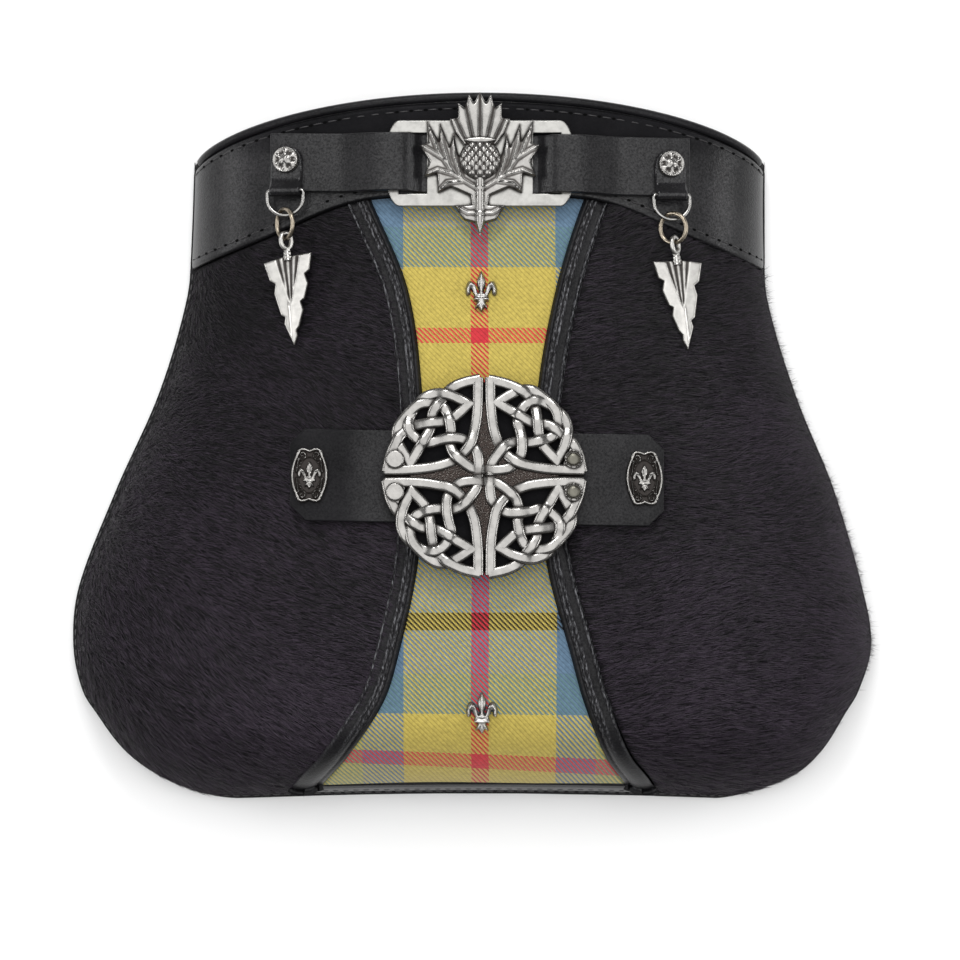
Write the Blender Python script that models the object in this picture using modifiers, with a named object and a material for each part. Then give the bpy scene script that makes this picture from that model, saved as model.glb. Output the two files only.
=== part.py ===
"""Sporran pouch of black leather and fur with a tartan centre and antique silver fittings.

The pouch lies on its flat back: Z up is out of the front, +Y is the mouth, and the origin is on the
back face. Units are metres.
"""

import math

import bmesh
import bpy
from mathutils import Matrix, Vector

MM = 0.001
GAP = 0.3 * MM

# The pouch as a whole
BAG_WIDTH = 267 * MM
SIDE_HEIGHT = 213 * MM
BAG_FOOT = -106.5 * MM
BAG_DEPTH = 50 * MM
RIM_RISE = 21.8 * MM
BOTTOM_ARCH = 1.6 * MM

# Leather, cloth and fur
BACK_THICKNESS = 2.2 * MM
WELT_THICKNESS = 1.8 * MM
WELT_WIDTH = 6.0 * MM
FRONT_INSET = 2.0 * MM
PANEL_THICKNESS = 2.0 * MM
YOKE_LIFT = 1.5 * MM
BORDER_WIDTH = 7.8 * MM
BORDER_LIFT = 1.2 * MM
FOOT_BAND_HEIGHT = 2.3 * MM
FOOT_BAND_LIFT = 0.8 * MM
RIM_BEAD = 3.0 * MM
TARTAN_HALF = 52 * MM

# Straps and the leather under the fittings
STRAP_THICKNESS = 2.0 * MM
BELT_WIDTH = 19.5 * MM
BELT_LENGTH = 137 * MM
BELT_BELOW = 2.6 * MM
BELT_TILT = 0.012
BAND_LENGTH = 122 * MM
BAND_WIDTH = 30 * MM
BAND_HEIGHT = 0.4 * MM
BAND_SHIFT = -1.0 * MM
BAND_DROP = 1.0 * MM
BAND_CLIP = 5.0 * MM
TAB_WIDTH = 10.3 * MM
TAB_LENGTH = 15 * MM
TAB_THICKNESS = 2.0 * MM

# Slotted plate and the ornament on it
PLATE_LENGTH = 63 * MM
PLATE_WIDTH = 28.7 * MM
PLATE_THICKNESS = 1.6 * MM
PLATE_BAR = 4.7 * MM
PLATE_BOW = 5.0 * MM
SLOT_LENGTH = 9.3 * MM
SLOT_SLACK = 0.4 * MM
BELT_SLACK = 1.3 * MM
EMBLEM_WIDTH = 40 * MM
EMBLEM_HEIGHT = 48 * MM
EMBLEM_THICKNESS = 2.0 * MM

# Round clasp
CLASP_RADIUS = 33.6 * MM
CLASP_RIGHT = 1.4 * MM
CLASP_BELOW = 0.2 * MM
CLASP_STRAND = CLASP_RADIUS * 0.106
CLASP_THICKNESS = CLASP_RADIUS * 0.066
CLASP_DOME = CLASP_RADIUS * 0.072
WEAVE_RISE = CLASP_RADIUS * 0.017
BACKING_RADIUS = 31.5 * MM

# Small fittings
STUD_RIVET = 8.8 * MM
STUD_RIVET_HEIGHT = 2.6 * MM
CLASP_RIVET = 6.2 * MM
CLASP_RIVET_HEIGHT = 1.2 * MM
CARTOUCHE_WIDTH = 12.2 * MM
CARTOUCHE_HEIGHT = 18 * MM
CARTOUCHE_THICKNESS = 1.2 * MM
CARTOUCHE_RELIEF = 0.9 * MM
CARTOUCHE_BOW = 2.2 * MM
CARTOUCHE_INSET = 6.5 * MM
FLEUR_WIDTH = 10.4 * MM
FLEUR_HEIGHT = 14 * MM
FLEUR_THICKNESS = 1.4 * MM
FLEUR_RIDGE = 2.2 * MM
D_RING_WIDTH = 13.4 * MM
D_RING_DEPTH = 9.7 * MM
D_RING_WIRE = 1.3 * MM
LOOP_WALL = 1.1 * MM
LINK_GAP = 0.6 * MM
JUMP_RING = 11.3 * MM
JUMP_WIRE = 1.5 * MM
JUMP_TURN = math.radians(45)
BAIL_WIRE = 1.6 * MM
BAIL_LENGTH = 6.8 * MM
BAIL_WIDTH = 5.6 * MM
BLADE_WIDTH = 16.3 * MM
BLADE_LENGTH = 30 * MM
BLADE_THICKNESS = 1.8 * MM
SHOULDER_DROP = 4.6 * MM
BLADE_REST = 0.9 * MM
SPINE_THICKNESS = 2.5 * MM
SPINE_SINK = 0.1 * MM
GROOVE_RISE = 2.8 * MM
GROOVE_WIDTH = 0.8 * MM
GROOVE_DEPTH = 0.35 * MM

# Outline of the sides: height as a share of SIDE_HEIGHT, half widths as shares of half BAG_WIDTH
SIDES = (
    # height, left, right
    (0.000, 0.599, 0.579),
    (0.009, 0.699, 0.669),
    (0.037, 0.809, 0.789),
    (0.074, 0.889, 0.856),
    (0.131, 0.959, 0.914),
    (0.168, 0.996, 0.949),
    (0.243, 1.020, 0.981),
    (0.337, 1.004, 0.956),
    (0.487, 0.911, 0.886),
    (0.638, 0.804, 0.789),
    (0.788, 0.734, 0.719),
    (0.863, 0.724, 0.714),
    (1.000, 0.716, 0.714),
)

# Edge of the tartan: half widths as shares of TARTAN_HALF
HOURGLASS = (
    # height, left, right
    (0.000, 1.080, 0.990),
    (0.023, 1.013, 0.935),
    (0.070, 0.846, 0.800),
    (0.156, 0.615, 0.660),
    (0.228, 0.519, 0.577),
    (0.364, 0.398, 0.427),
    (0.500, 0.360, 0.352),
    (0.625, 0.365, 0.360),
    (0.793, 0.458, 0.481),
    (0.930, 0.687, 0.654),
    (1.050, 0.900, 0.870),
)

# Fullness of the front up the middle: depth as a share of BAG_DEPTH
FULLNESS = (
    # height, depth
    (0.00, 0.90),
    (0.20, 0.98),
    (0.32, 1.00),
    (0.50, 0.93),
    (0.75, 0.76),
    (0.93, 0.62),
    (1.10, 0.54),
)
TOE_HEIGHT = 0.13
SIDE_ROUND = 4.0
TOE_ROUND = 2.2

# How far to each side a slope is measured: of the front, and of the tartan's edge
SLOPE_REACH = 1.0 * MM
LEAN_REACH = 3.0 * MM

# Lower edge of the yoke: distance out as a share of the half width, height as a share of SIDE_HEIGHT
YOKE_EDGE = (
    # out, height
    (0.00, 0.942),
    (0.20, 0.940),
    (0.38, 0.935),
    (0.52, 0.919),
    (0.75, 0.874),
    (1.00, 0.829),
)

# Strands of one quarter of the knot, from the clasp's centre, as hundredths of CLASP_RADIUS.
# The level is +1 where a strand passes over another and -1 where it passes under.
BAR_STRAND = (
    # right, up, level
    (6, 96, 0), (6, 77, 0), (7.5, 57, 0), (10.5, 41, 0), (17.5, 25.5, -1),
    (31, 13.5, 1), (47, 9, 0), (67, 6.5, 0), (96, 6, 0),
)
LOOP_OUTWARD = (
    # right, up, level
    (0, 6, -1), (18, 6, 0), (31, 14, -1), (36, 22, 0), (36.5, 34, 1),
    (33.5, 50, 0), (33.5, 59, -1), (39, 69, 0), (48, 73.5, 1), (59, 71.5, 0), (69, 65.5, -1),
    (77, 58, 0), (81, 48, 0), (80.5, 38, 1), (69, 13.5, 0.3),
)
LOOP_RETURN = (
    # right, up, level
    (73, 13, -0.3), (60, 26, 0), (54.5, 34.5, -1), (52.5, 44, 0), (52, 52, 1), (50.5, 63, 0),
    (48, 72, -1), (42.5, 79, 0), (35.5, 84.5, 1), (21.5, 91.5, 0), (6, 95, 0),
)
HOOK_OUTWARD = (
    # right, up, level
    (6, 0, 0), (6, 6, -1), (9, 15, 0), (17.5, 26, 1), (26, 32, 0), (36.5, 33.5, -1),
    (45, 32, 0), (54.5, 34, 1), (64, 37, 0), (70, 45.5, -1), (72.5, 54, 0), (69.5, 65, 1),
    (58, 76.5, 0), (46.5, 84.5, 0), (35.5, 84.5, -1), (24, 79, 0), (10, 70, 0.3),
)
HOOK_RETURN = (
    # right, up, level
    (10, 74, -0.3), (24, 65.5, 0), (33.5, 59, 1), (43, 54, 0), (52, 51, -1), (61, 50.5, 0),
    (68.5, 46.5, 1), (75, 41, 0), (81, 37.5, -1), (87.5, 30.5, 0), (92, 19.5, 0), (96, 7, 0),
)
STRANDS = (BAR_STRAND, LOOP_OUTWARD, LOOP_RETURN, HOOK_OUTWARD, HOOK_RETURN)
GROUND_BENDS = BAR_STRAND[2:7]
GROUND_THICKNESS = CLASP_THICKNESS * 0.45
GROUND_RISE = 0.75
CLASP_RIVET_OUT = CLASP_RADIUS * 0.87
CLASP_RIVET_UP = CLASP_RADIUS * 0.16

COLLECTION = "sporran_pouch"
FRONT_ROWS = 14
FUR_COLUMNS = 8
TARTAN_COLUMNS = 4
RING_STEPS = 12
DISC_STEPS = 28
RIVET_STEPS = 12
ROW_CROWDING = 1.7


def start_empty():
    """Remove what the file opens with."""
    for obj in list(bpy.data.objects):
        bpy.data.objects.remove(obj, do_unlink=True)


def collection(name):
    """Find or make a collection."""
    group = bpy.data.collections.get(name)
    if group is None:
        group = bpy.data.collections.new(name)
        bpy.context.scene.collection.children.link(group)
    return group


def material(name, colour, roughness, metallic=0.0):
    """A Principled material, made once."""
    found = bpy.data.materials.get(name)
    if found:
        return found
    made = bpy.data.materials.new(name)
    made.use_nodes = True
    shader = made.node_tree.nodes["Principled BSDF"]
    shader.inputs["Base Color"].default_value = (*colour, 1.0)
    shader.inputs["Roughness"].default_value = roughness
    shader.inputs["Metallic"].default_value = metallic
    made.diffuse_color = (*colour, 1.0)
    return made


def black_leather(name):
    return material(name + "_leather", (0.012, 0.012, 0.013), 0.38)


def silver(name):
    return material(name + "_silver", (0.62, 0.61, 0.58), 0.32, 1.0)


def add_object(name, mesh, finish):
    """Put a mesh in the part's collection as one node."""
    obj = bpy.data.objects.new(name, mesh)
    collection(COLLECTION).objects.link(obj)
    if finish:
        mesh.materials.clear()
        mesh.materials.append(finish)
    mesh.shade_smooth()
    mesh.set_sharp_from_angle(angle=math.radians(35))
    return obj


def curve_through(rows, at, column):
    """Smooth value of one column of a table at a place in its first column."""
    places = [row[0] for row in rows]
    values = [row[column] for row in rows]
    at = min(max(at, places[0]), places[-1])
    k = 0
    while k < len(places) - 2 and at > places[k + 1]:
        k += 1

    def slope(i):
        low = max(i - 1, 0)
        high = min(i + 1, len(places) - 1)
        return (values[high] - values[low]) / (places[high] - places[low])

    step = places[k + 1] - places[k]
    t = (at - places[k]) / step
    start = values[k] * (1 + 2 * t) * (1 - t) ** 2 + slope(k) * step * t * (1 - t) ** 2
    end = values[k + 1] * (3 - 2 * t) * t ** 2 - slope(k + 1) * step * t ** 2 * (1 - t)
    return start + end


def smooth_step(t):
    t = min(max(t, 0.0), 1.0)
    return t * t * (3 - 2 * t)


ROOT_SIDES = tuple((math.sqrt(row[0]), row[1], row[2]) for row in SIDES)


def half_width(y, side):
    """Distance from the middle to the outline at a height, on side -1 or 1."""
    share = min(max((y - BAG_FOOT) / SIDE_HEIGHT, 0.0), 1.0)
    return curve_through(ROOT_SIDES, math.sqrt(share), 1 if side < 0 else 2) * BAG_WIDTH / 2


def tartan_edge(y, side):
    """Distance from the middle to the edge of the tartan at a height."""
    return curve_through(HOURGLASS, (y - BAG_FOOT) / SIDE_HEIGHT, 1 if side < 0 else 2) * TARTAN_HALF


def border_edge(y, side):
    """Outer edge of the leather border, which keeps its width square to its run."""
    lean = (tartan_edge(y + LEAN_REACH, side) - tartan_edge(y - LEAN_REACH, side)) / (2 * LEAN_REACH)
    return tartan_edge(y, side) + BORDER_WIDTH * math.sqrt(1 + lean * lean)


def front_half(y, side):
    return half_width(y, side) - FRONT_INSET


def out_share(x, y):
    """How far out a place is, from 0 in the middle to 1 at the foot of the front."""
    return min(abs(x) / front_half(y, -1 if x < 0 else 1), 1.0)


def bottom_edge(x):
    """Lowest edge of the front, which arches slightly in the middle."""
    return BAG_FOOT + BOTTOM_ARCH * max(0.0, 1 - (x / (BAG_WIDTH * 0.3)) ** 2)


def rim_edge(out):
    """Height of the mouth's outer line at a share of the half width."""
    return BAG_FOOT + SIDE_HEIGHT + RIM_RISE * max(0.0, 1 - out * out) ** 0.68


BELT_HEIGHT = BAG_FOOT + SIDE_HEIGHT - BELT_BELOW


def yoke_edge(out):
    return BAG_FOOT + SIDE_HEIGHT * curve_through(YOKE_EDGE, out, 1)


FRONT_FOOT = BACK_THICKNESS + GAP + WELT_THICKNESS + GAP


def front_height(x, y):
    """Height of the front's outer face above the surface that the back lies on."""
    start = bottom_edge(x) + FRONT_INSET
    share = (y - start) / (SIDE_HEIGHT - FRONT_INSET)
    full = curve_through(FULLNESS, share, 1) * BAG_DEPTH
    rounding = max(0.0, 1 - out_share(x, y) ** SIDE_ROUND) ** 0.5
    toe = 1.0
    if share < TOE_HEIGHT:
        toe = max(0.0, 1 - (1 - max(share, 0.0) / TOE_HEIGHT) ** TOE_ROUND) ** 0.5
    return FRONT_FOOT + full * rounding * toe


def front_normal(x, y):
    """Outward direction of the front at a place away from its foot."""
    across = front_height(x + SLOPE_REACH, y) - front_height(x - SLOPE_REACH, y)
    along = front_height(x, y + SLOPE_REACH) - front_height(x, y - SLOPE_REACH)
    return Vector((-across, -along, 2 * SLOPE_REACH)).normalized()


def on_front(x, y, lift=0.0):
    """A point above the front, measured square to it."""
    return Vector((x, y, front_height(x, y))) + front_normal(x, y) * lift


def grid_mesh(name, rows):
    """A sheet of quads from rows of points."""
    sheet = bmesh.new()
    made = [[sheet.verts.new(point) for point in row] for row in rows]
    for low, high in zip(made, made[1:]):
        for a, b, c, d in zip(low, low[1:], high[1:], high):
            sheet.faces.new((a, b, c, d))
    bmesh.ops.recalc_face_normals(sheet, faces=sheet.faces)
    upward = sum(face.normal.z * face.calc_area() for face in sheet.faces)
    if upward < 0:
        bmesh.ops.reverse_faces(sheet, faces=sheet.faces)
    mesh = bpy.data.meshes.new(name)
    sheet.to_mesh(mesh)
    sheet.free()
    return mesh


def shell(name, rows, finish, thickness=PANEL_THICKNESS, lift=0.0, outward=False):
    """An open sheet thickened into a wall, below its outer face or above its inner one."""
    obj = add_object(name, grid_mesh(name, rows), finish)
    solid = obj.modifiers.new("wall", "SOLIDIFY")
    solid.thickness = thickness + lift
    solid.offset = 1.0 if outward else -1.0 + 2.0 * lift / (thickness + lift)
    level_foot(obj)
    return obj


def level_foot(obj):
    """Apply the wall and trim its foot level, where it stands on the welt."""
    bpy.context.view_layer.update()
    mesh = bpy.data.meshes.new_from_object(obj.evaluated_get(bpy.context.evaluated_depsgraph_get()))
    obj.modifiers.clear()
    obj.data = mesh
    for vertex in mesh.vertices:
        vertex.co.z = max(vertex.co.z, FRONT_FOOT)


def flat_solid(name, outlines, thickness, finish=None, base=0.0, place=None):
    """Extrude closed outlines, the first one outside and the others holes in it."""
    curve = bpy.data.curves.new(name + "_outline", "CURVE")
    curve.dimensions = "2D"
    curve.fill_mode = "BOTH"
    curve.extrude = thickness / 2
    for outline in outlines:
        spline = curve.splines.new("POLY")
        spline.points.add(len(outline) - 1)
        for point, (x, y) in zip(spline.points, outline):
            point.co = (x, y, 0.0, 1.0)
        spline.use_cyclic_u = True
    return curve_solid(name, curve, finish, Matrix.Translation((0, 0, base + thickness / 2)), place)


def curve_solid(name, curve, finish=None, local=None, place=None):
    """Make a curve into a closed mesh object."""
    guide = bpy.data.objects.new(name + "_guide", curve)
    bpy.context.scene.collection.objects.link(guide)
    bpy.context.view_layer.update()
    evaluated = guide.evaluated_get(bpy.context.evaluated_depsgraph_get())
    mesh = bpy.data.meshes.new_from_object(evaluated)
    bpy.data.objects.remove(guide, do_unlink=True)
    bpy.data.curves.remove(curve)
    mesh.name = name
    if local is not None:
        mesh.transform(local)
    if place is not None:
        mesh.transform(place)
    work = bmesh.new()
    work.from_mesh(mesh)
    bmesh.ops.remove_doubles(work, verts=work.verts, dist=0.000002)
    bmesh.ops.recalc_face_normals(work, faces=work.faces)
    work.to_mesh(mesh)
    work.free()
    return add_object(name, mesh, finish)


def wire(name, points, thickness, finish=None, closed=True, sides=6, place=None):
    """Round wire through points, as a ring or with capped ends."""
    curve = bpy.data.curves.new(name + "_wire", "CURVE")
    curve.dimensions = "3D"
    curve.bevel_depth = thickness / 2
    curve.bevel_resolution = (sides - 4) // 2
    curve.use_fill_caps = not closed
    spline = curve.splines.new("POLY")
    spline.points.add(len(points) - 1)
    for point, co in zip(spline.points, points):
        point.co = (*co, 1.0)
    spline.use_cyclic_u = closed
    return curve_solid(name, curve, finish, None, place)


def turned(name, profile, steps, finish=None, place=None):
    """Turn a profile of (radius, height) pairs, listed from its top to its foot, about Z."""
    work = bmesh.new()
    made = [work.verts.new((radius, 0.0, height)) for radius, height in profile]
    for a, b in zip(made, made[1:]):
        work.edges.new((a, b))
    mesh = bpy.data.meshes.new(name)
    work.to_mesh(mesh)
    work.free()
    guide = bpy.data.objects.new(name + "_guide", mesh)
    bpy.context.scene.collection.objects.link(guide)
    screw = guide.modifiers.new("turn", "SCREW")
    screw.steps = steps
    screw.render_steps = steps
    screw.use_merge_vertices = True
    screw.merge_threshold = 0.00005
    bpy.context.view_layer.update()
    solid = bpy.data.meshes.new_from_object(guide.evaluated_get(bpy.context.evaluated_depsgraph_get()))
    bpy.data.objects.remove(guide, do_unlink=True)
    solid.name = name
    if place is not None:
        solid.transform(place)
    return add_object(name, solid, finish)


def into_triangles(mesh):
    """Cut bent faces into triangles, which every boolean reads the same way."""
    work = bmesh.new()
    work.from_mesh(mesh)
    bmesh.ops.triangulate(work, faces=work.faces)
    work.to_mesh(mesh)
    work.free()


def join(base, others, operation="UNION"):
    """Boolean solids into the base, which keeps its name, at a scale that suits small features."""
    enlarge = Matrix.Scale(1 / MM, 4)
    base.data.transform(enlarge)
    into_triangles(base.data)
    for other in others:
        other.data.transform(enlarge)
        into_triangles(other.data)
        tool = base.modifiers.new("join", "BOOLEAN")
        tool.operation = operation
        tool.solver = "EXACT"
        tool.object = other
        bpy.context.view_layer.update()
        mesh = bpy.data.meshes.new_from_object(base.evaluated_get(bpy.context.evaluated_depsgraph_get()))
        base.modifiers.clear()
        base.data = mesh
        into_triangles(mesh)
        bpy.data.objects.remove(other, do_unlink=True)
    work = bmesh.new()
    work.from_mesh(base.data)
    bmesh.ops.dissolve_limit(work, angle_limit=math.radians(0.5), verts=work.verts, edges=work.edges)
    bmesh.ops.triangulate(work, faces=work.faces)
    bmesh.ops.remove_doubles(work, verts=work.verts, dist=0.004)
    bmesh.ops.dissolve_degenerate(work, edges=work.edges, dist=0.004)
    work.to_mesh(base.data)
    work.free()
    base.data.transform(enlarge.inverted())
    return base


def seat(x, y, lift=0.0, spin=0.0):
    """Frame on the front: Z out of it, Y towards the mouth, turned by spin."""
    normal = front_normal(x, y)
    up = (Vector((0, 1, 0)) - normal * normal.y).normalized()
    right = up.cross(normal)
    turn = Matrix((right, up, normal)).transposed().to_4x4()
    return Matrix.Translation(on_front(x, y, lift)) @ turn @ Matrix.Rotation(spin, 4, "Z")


def aimed(origin, down, out, turn=0.0):
    """Frame at a point: Y against the way down, Z as near to out as it goes."""
    up = -down.normalized()
    normal = (out - up * out.dot(up)).normalized()
    right = up.cross(normal)
    frame = Matrix((right, up, normal)).transposed().to_4x4()
    return Matrix.Translation(origin) @ frame @ Matrix.Rotation(turn, 4, "Y")


def ellipse(half_wide, half_high, count, start=0.0, centre=(0.0, 0.0)):
    """Points round an ellipse."""
    ring = []
    for k in range(count):
        angle = start + 2 * math.pi * k / count
        ring.append((centre[0] + half_wide * math.cos(angle), centre[1] + half_high * math.sin(angle)))
    return ring


def side_heights(count):
    """Heights up the side, crowded towards the rounded foot."""
    return [BAG_FOOT + SIDE_HEIGHT * (k / count) ** 2 for k in range(count + 1)]


def outline(inset, count=18):
    """Side and bottom outline from the right corner round the bottom to the left corner."""
    heights = side_heights(count)
    right = [(half_width(y, 1) - inset, max(y, BAG_FOOT + inset)) for y in reversed(heights[1:])]
    left = [(-half_width(y, -1) + inset, max(y, BAG_FOOT + inset)) for y in heights[1:]]
    reach = BAG_WIDTH * 0.29
    middle = [(share * reach, bottom_edge(share * reach) + inset) for share in (1, 0.5, 0, -0.5, -1)]
    return right + middle + left


def make_back():
    """Flat leather back with the whole outline, up to the rim."""
    corner = half_width(BAG_FOOT + SIDE_HEIGHT, 1)
    arc = []
    count = 16
    for k in range(1, count):
        out = math.cos(math.pi * (1 - k / count))
        arc.append((out * corner, rim_edge(abs(out)) - RIM_BEAD / 2))
    points = outline(0.0) + arc
    flat_solid("back_panel", [points], BACK_THICKNESS, black_leather("back"))


def make_welt():
    """Sewn edge on the back, from corner to corner round the bottom."""
    outer = outline(0.0)
    inner = outline(WELT_WIDTH)
    drop = RIM_BEAD + 2 * GAP
    outer[0] = (outer[0][0], outer[0][1] - drop)
    outer[-1] = (outer[-1][0], outer[-1][1] - drop)
    inner[0] = (inner[0][0], inner[0][1] - drop)
    inner[-1] = (inner[-1][0], inner[-1][1] - drop)
    ring = outer + inner[::-1]
    flat_solid("seam_welt", [ring], WELT_THICKNESS, black_leather("welt"), BACK_THICKNESS + GAP)


def front_rows(first, last, shares, inner, outer, side, lower_gap=0.0):
    """Rows of points of a panel of the front that runs from the foot up to the yoke.

    The columns lie at shares of the way from the inner edge to the outer one. A row's place depends
    on where its foot and its top are, and those on where the column is, so both settle together.
    """

    def column_x(y, share):
        return inner(y, side) + (outer(y, side) - inner(y, side)) * share

    rows = []
    for k in range(first, last + 1):
        row = []
        for share in shares:
            top = yoke_edge(0.5)
            for _ in range(12):
                x = column_x(top, share)
                top = yoke_edge(x / front_half(top, side))
            y = top
            for _ in range(12):
                foot = bottom_edge(x) + FRONT_INSET
                y = foot + (top - GAP / 2 - foot) * (k / FRONT_ROWS) ** ROW_CROWDING
                if k == first:
                    y += lower_gap
                x = column_x(y, share)
            row.append((side * x, y, front_height(side * x, y)))
        rows.append(row)
    return rows


def crowded_shares(count):
    """Shares from 0 to 1, crowded towards 1 where the front turns down."""
    return [math.sin(math.pi / 2 * k / count) for k in range(count + 1)]


def fur_inner(y, side):
    return border_edge(y, side) + GAP / 2


def strip_inner(y, side):
    return tartan_edge(y, side) + GAP / 2


def strip_outer(y, side):
    return border_edge(y, side) - GAP / 2


def cloth_edge(y, side):
    return tartan_edge(y, side) - GAP / 2


def middle(y, side):
    return 0.0


def foot_rows():
    """How many rows the foot band takes, from its height."""
    count = 1
    while SIDE_HEIGHT * (count / FRONT_ROWS) ** ROW_CROWDING < FOOT_BAND_HEIGHT:
        count += 1
    return count


def across(first, last, edge, lower_gap=0.0):
    """Rows that run from one side of the front's middle to the other."""
    shares = [k / TARTAN_COLUMNS for k in range(TARTAN_COLUMNS + 1)]
    left = front_rows(first, last, shares, middle, edge, -1, lower_gap)
    right = front_rows(first, last, shares, middle, edge, 1, lower_gap)
    return [row[:0:-1] + other for row, other in zip(left, right)]


def make_front():
    """Fur lobes, tartan, its borders and the band at its foot, edge to edge."""
    split = foot_rows()
    fur = material("fur", (0.012, 0.011, 0.013), 0.6)
    for name, side in (("left", -1), ("right", 1)):
        rows = front_rows(0, FRONT_ROWS, crowded_shares(FUR_COLUMNS), fur_inner, front_half, side)
        shell("fur_" + name, rows, fur)
        rows = front_rows(split, FRONT_ROWS, (0.0, 0.5, 1.0), strip_inner, strip_outer, side, GAP)
        shell("tartan_border_" + name, rows, black_leather("border"), lift=BORDER_LIFT)
    rows = across(split, FRONT_ROWS, cloth_edge, GAP)
    shell("tartan_panel", rows, material("tartan", (0.55, 0.47, 0.12), 0.85))
    rows = across(0, split, strip_outer)
    shell("bottom_binding", rows, black_leather("binding"), lift=FOOT_BAND_LIFT)


def yoke_outs():
    """Columns across the yoke, as signed shares of the half width."""
    count = 12
    return [math.sin(math.pi / 2 * k / count) for k in range(-count, count + 1)]


def make_yoke():
    """Leather band across the top, from the panels up to the rim."""
    rows = []
    count = 4
    for j in range(count + 1):
        row = []
        for out in yoke_outs():
            side = -1 if out < 0 else 1
            low = yoke_edge(abs(out)) + GAP / 2
            high = rim_edge(abs(out)) - RIM_BEAD - GAP
            y = low + (high - low) * j / count
            x = out * front_half(y, side)
            row.append((x, y, front_height(x, y)))
        rows.append(row)
    shell("yoke", rows, black_leather("yoke"), lift=YOKE_LIFT)


def make_rim():
    """Rounded binding along the mouth's front edge."""
    points = []
    for out in yoke_outs()[1:-1]:
        side = -1 if out < 0 else 1
        y = rim_edge(abs(out)) - RIM_BEAD / 2
        x = out * front_half(y, side)
        points.append((x, y, front_height(x, y) + (YOKE_LIFT - PANEL_THICKNESS) / 2))
    wire("rim_binding", points, RIM_BEAD, black_leather("rim"), closed=False, sides=6)


BELT_LIFT = YOKE_LIFT + GAP
PLATE_LIFT = BELT_LIFT + STRAP_THICKNESS + GAP
OVER_BAR_LIFT = PLATE_LIFT + PLATE_THICKNESS + 1.5 * GAP
SLOT_OUTER = PLATE_LENGTH / 2 - PLATE_BAR
SLOT_INNER = SLOT_OUTER - SLOT_LENGTH


def belt_lift(x):
    """Height of the belt's underside above the front: under the plate's middle, over its bars."""
    rise = OVER_BAR_LIFT - BELT_LIFT
    out = abs(x)
    if out < SLOT_OUTER:
        return BELT_LIFT + rise * smooth_step((out - SLOT_INNER - BELT_SLACK) / (SLOT_LENGTH - BELT_SLACK))
    fall_start = PLATE_LENGTH / 2 + BELT_SLACK
    return BELT_LIFT + rise * (1 - smooth_step((out - fall_start) / SLOT_LENGTH))


def make_belt():
    """Decorative strap across the yoke, threaded through the plate."""
    half = BELT_LENGTH / 2
    bends = [SLOT_INNER + SLOT_LENGTH * k / 6 for k in range(7)]
    over = PLATE_LENGTH / 2 + BELT_SLACK
    falls = [over + SLOT_LENGTH * k / 4 for k in range(5)]
    outs = [0.0, SLOT_INNER * 0.5] + bends + falls + [(falls[-1] + half) / 2, half]
    places = [-out for out in reversed(outs[1:])] + outs
    rows = []
    for share in (-1, 0, 1):
        row = []
        for x in places:
            y = BELT_HEIGHT + share * BELT_WIDTH / 2 - x * BELT_TILT
            row.append(on_front(x, y, belt_lift(x)))
        rows.append(row)
    shell("belt", rows, black_leather("belt"), STRAP_THICKNESS, outward=True)


def plate_outline(half_long, half_wide):
    """Rectangle whose ends are shallow D shapes."""
    points = []
    for side in (1, -1):
        for k in range(9):
            angle = math.pi * (k / 8 - 0.5)
            x = side * (half_long - PLATE_BOW + PLATE_BOW * math.cos(angle))
            points.append((x, side * half_wide * math.sin(angle)))
    return points


def box_outline(low_x, high_x, half_wide):
    return [(low_x, -half_wide), (high_x, -half_wide), (high_x, half_wide), (low_x, half_wide)]


def make_plate():
    """Slotted plate, with the belt over its end bars and under its middle."""
    slot_half = BELT_WIDTH / 2 + SLOT_SLACK
    holes = [
        box_outline(SLOT_INNER, SLOT_OUTER, slot_half),
        box_outline(-SLOT_OUTER, -SLOT_INNER, slot_half),
    ]
    outlines = [plate_outline(PLATE_LENGTH / 2, PLATE_WIDTH / 2)] + holes
    place = seat(0.0, BELT_HEIGHT, PLATE_LIFT)
    flat_solid("slide_plate", outlines, PLATE_THICKNESS, silver("plate"), place=place)


def mirrored(half):
    """Close a right half outline, listed from the top down, with its mirror image."""
    return half + [(-x, y) for x, y in reversed(half) if abs(x) > 1e-9]


def scaled(table, wide, high):
    return [(x * wide, y * high) for x, y in table]


# Half outlines of the ornament, as shares of its half width and of its height from its foot
THISTLE_BLOOM = (
    # out, up
    (0.00, 1.00), (0.10, 0.92), (0.18, 0.98), (0.25, 0.89), (0.36, 0.92), (0.37, 0.82),
    (0.49, 0.81), (0.40, 0.71), (0.26, 0.63), (0.00, 0.60),
)
THISTLE_LEAF = (
    # out, up
    (0.00, 0.45), (0.20, 0.47), (0.36, 0.57), (0.44, 0.72), (0.50, 0.62), (0.66, 0.79),
    (0.68, 0.66), (0.88, 0.81), (0.85, 0.65), (1.00, 0.63), (0.84, 0.52), (0.93, 0.41),
    (0.71, 0.43), (0.69, 0.30), (0.48, 0.34), (0.16, 0.28), (0.14, 0.22), (0.42, 0.21),
    (0.26, 0.11), (0.08, 0.09), (0.00, 0.00),
)
THISTLE_BULB = (
    # radius, rise
    (0.0, 1.0), (0.5, 0.87), (0.87, 0.5), (1.0, 0.12), (1.0, 0.0), (0.0, 0.0),
)
BULB_HALF = EMBLEM_WIDTH * 0.17
BULB_TALL = 1.02
BULB_UP = EMBLEM_HEIGHT * 0.53
EMBLEM_CENTRE = EMBLEM_HEIGHT * 0.51
EMBLEM_SINK = 0.1 * MM


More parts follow.
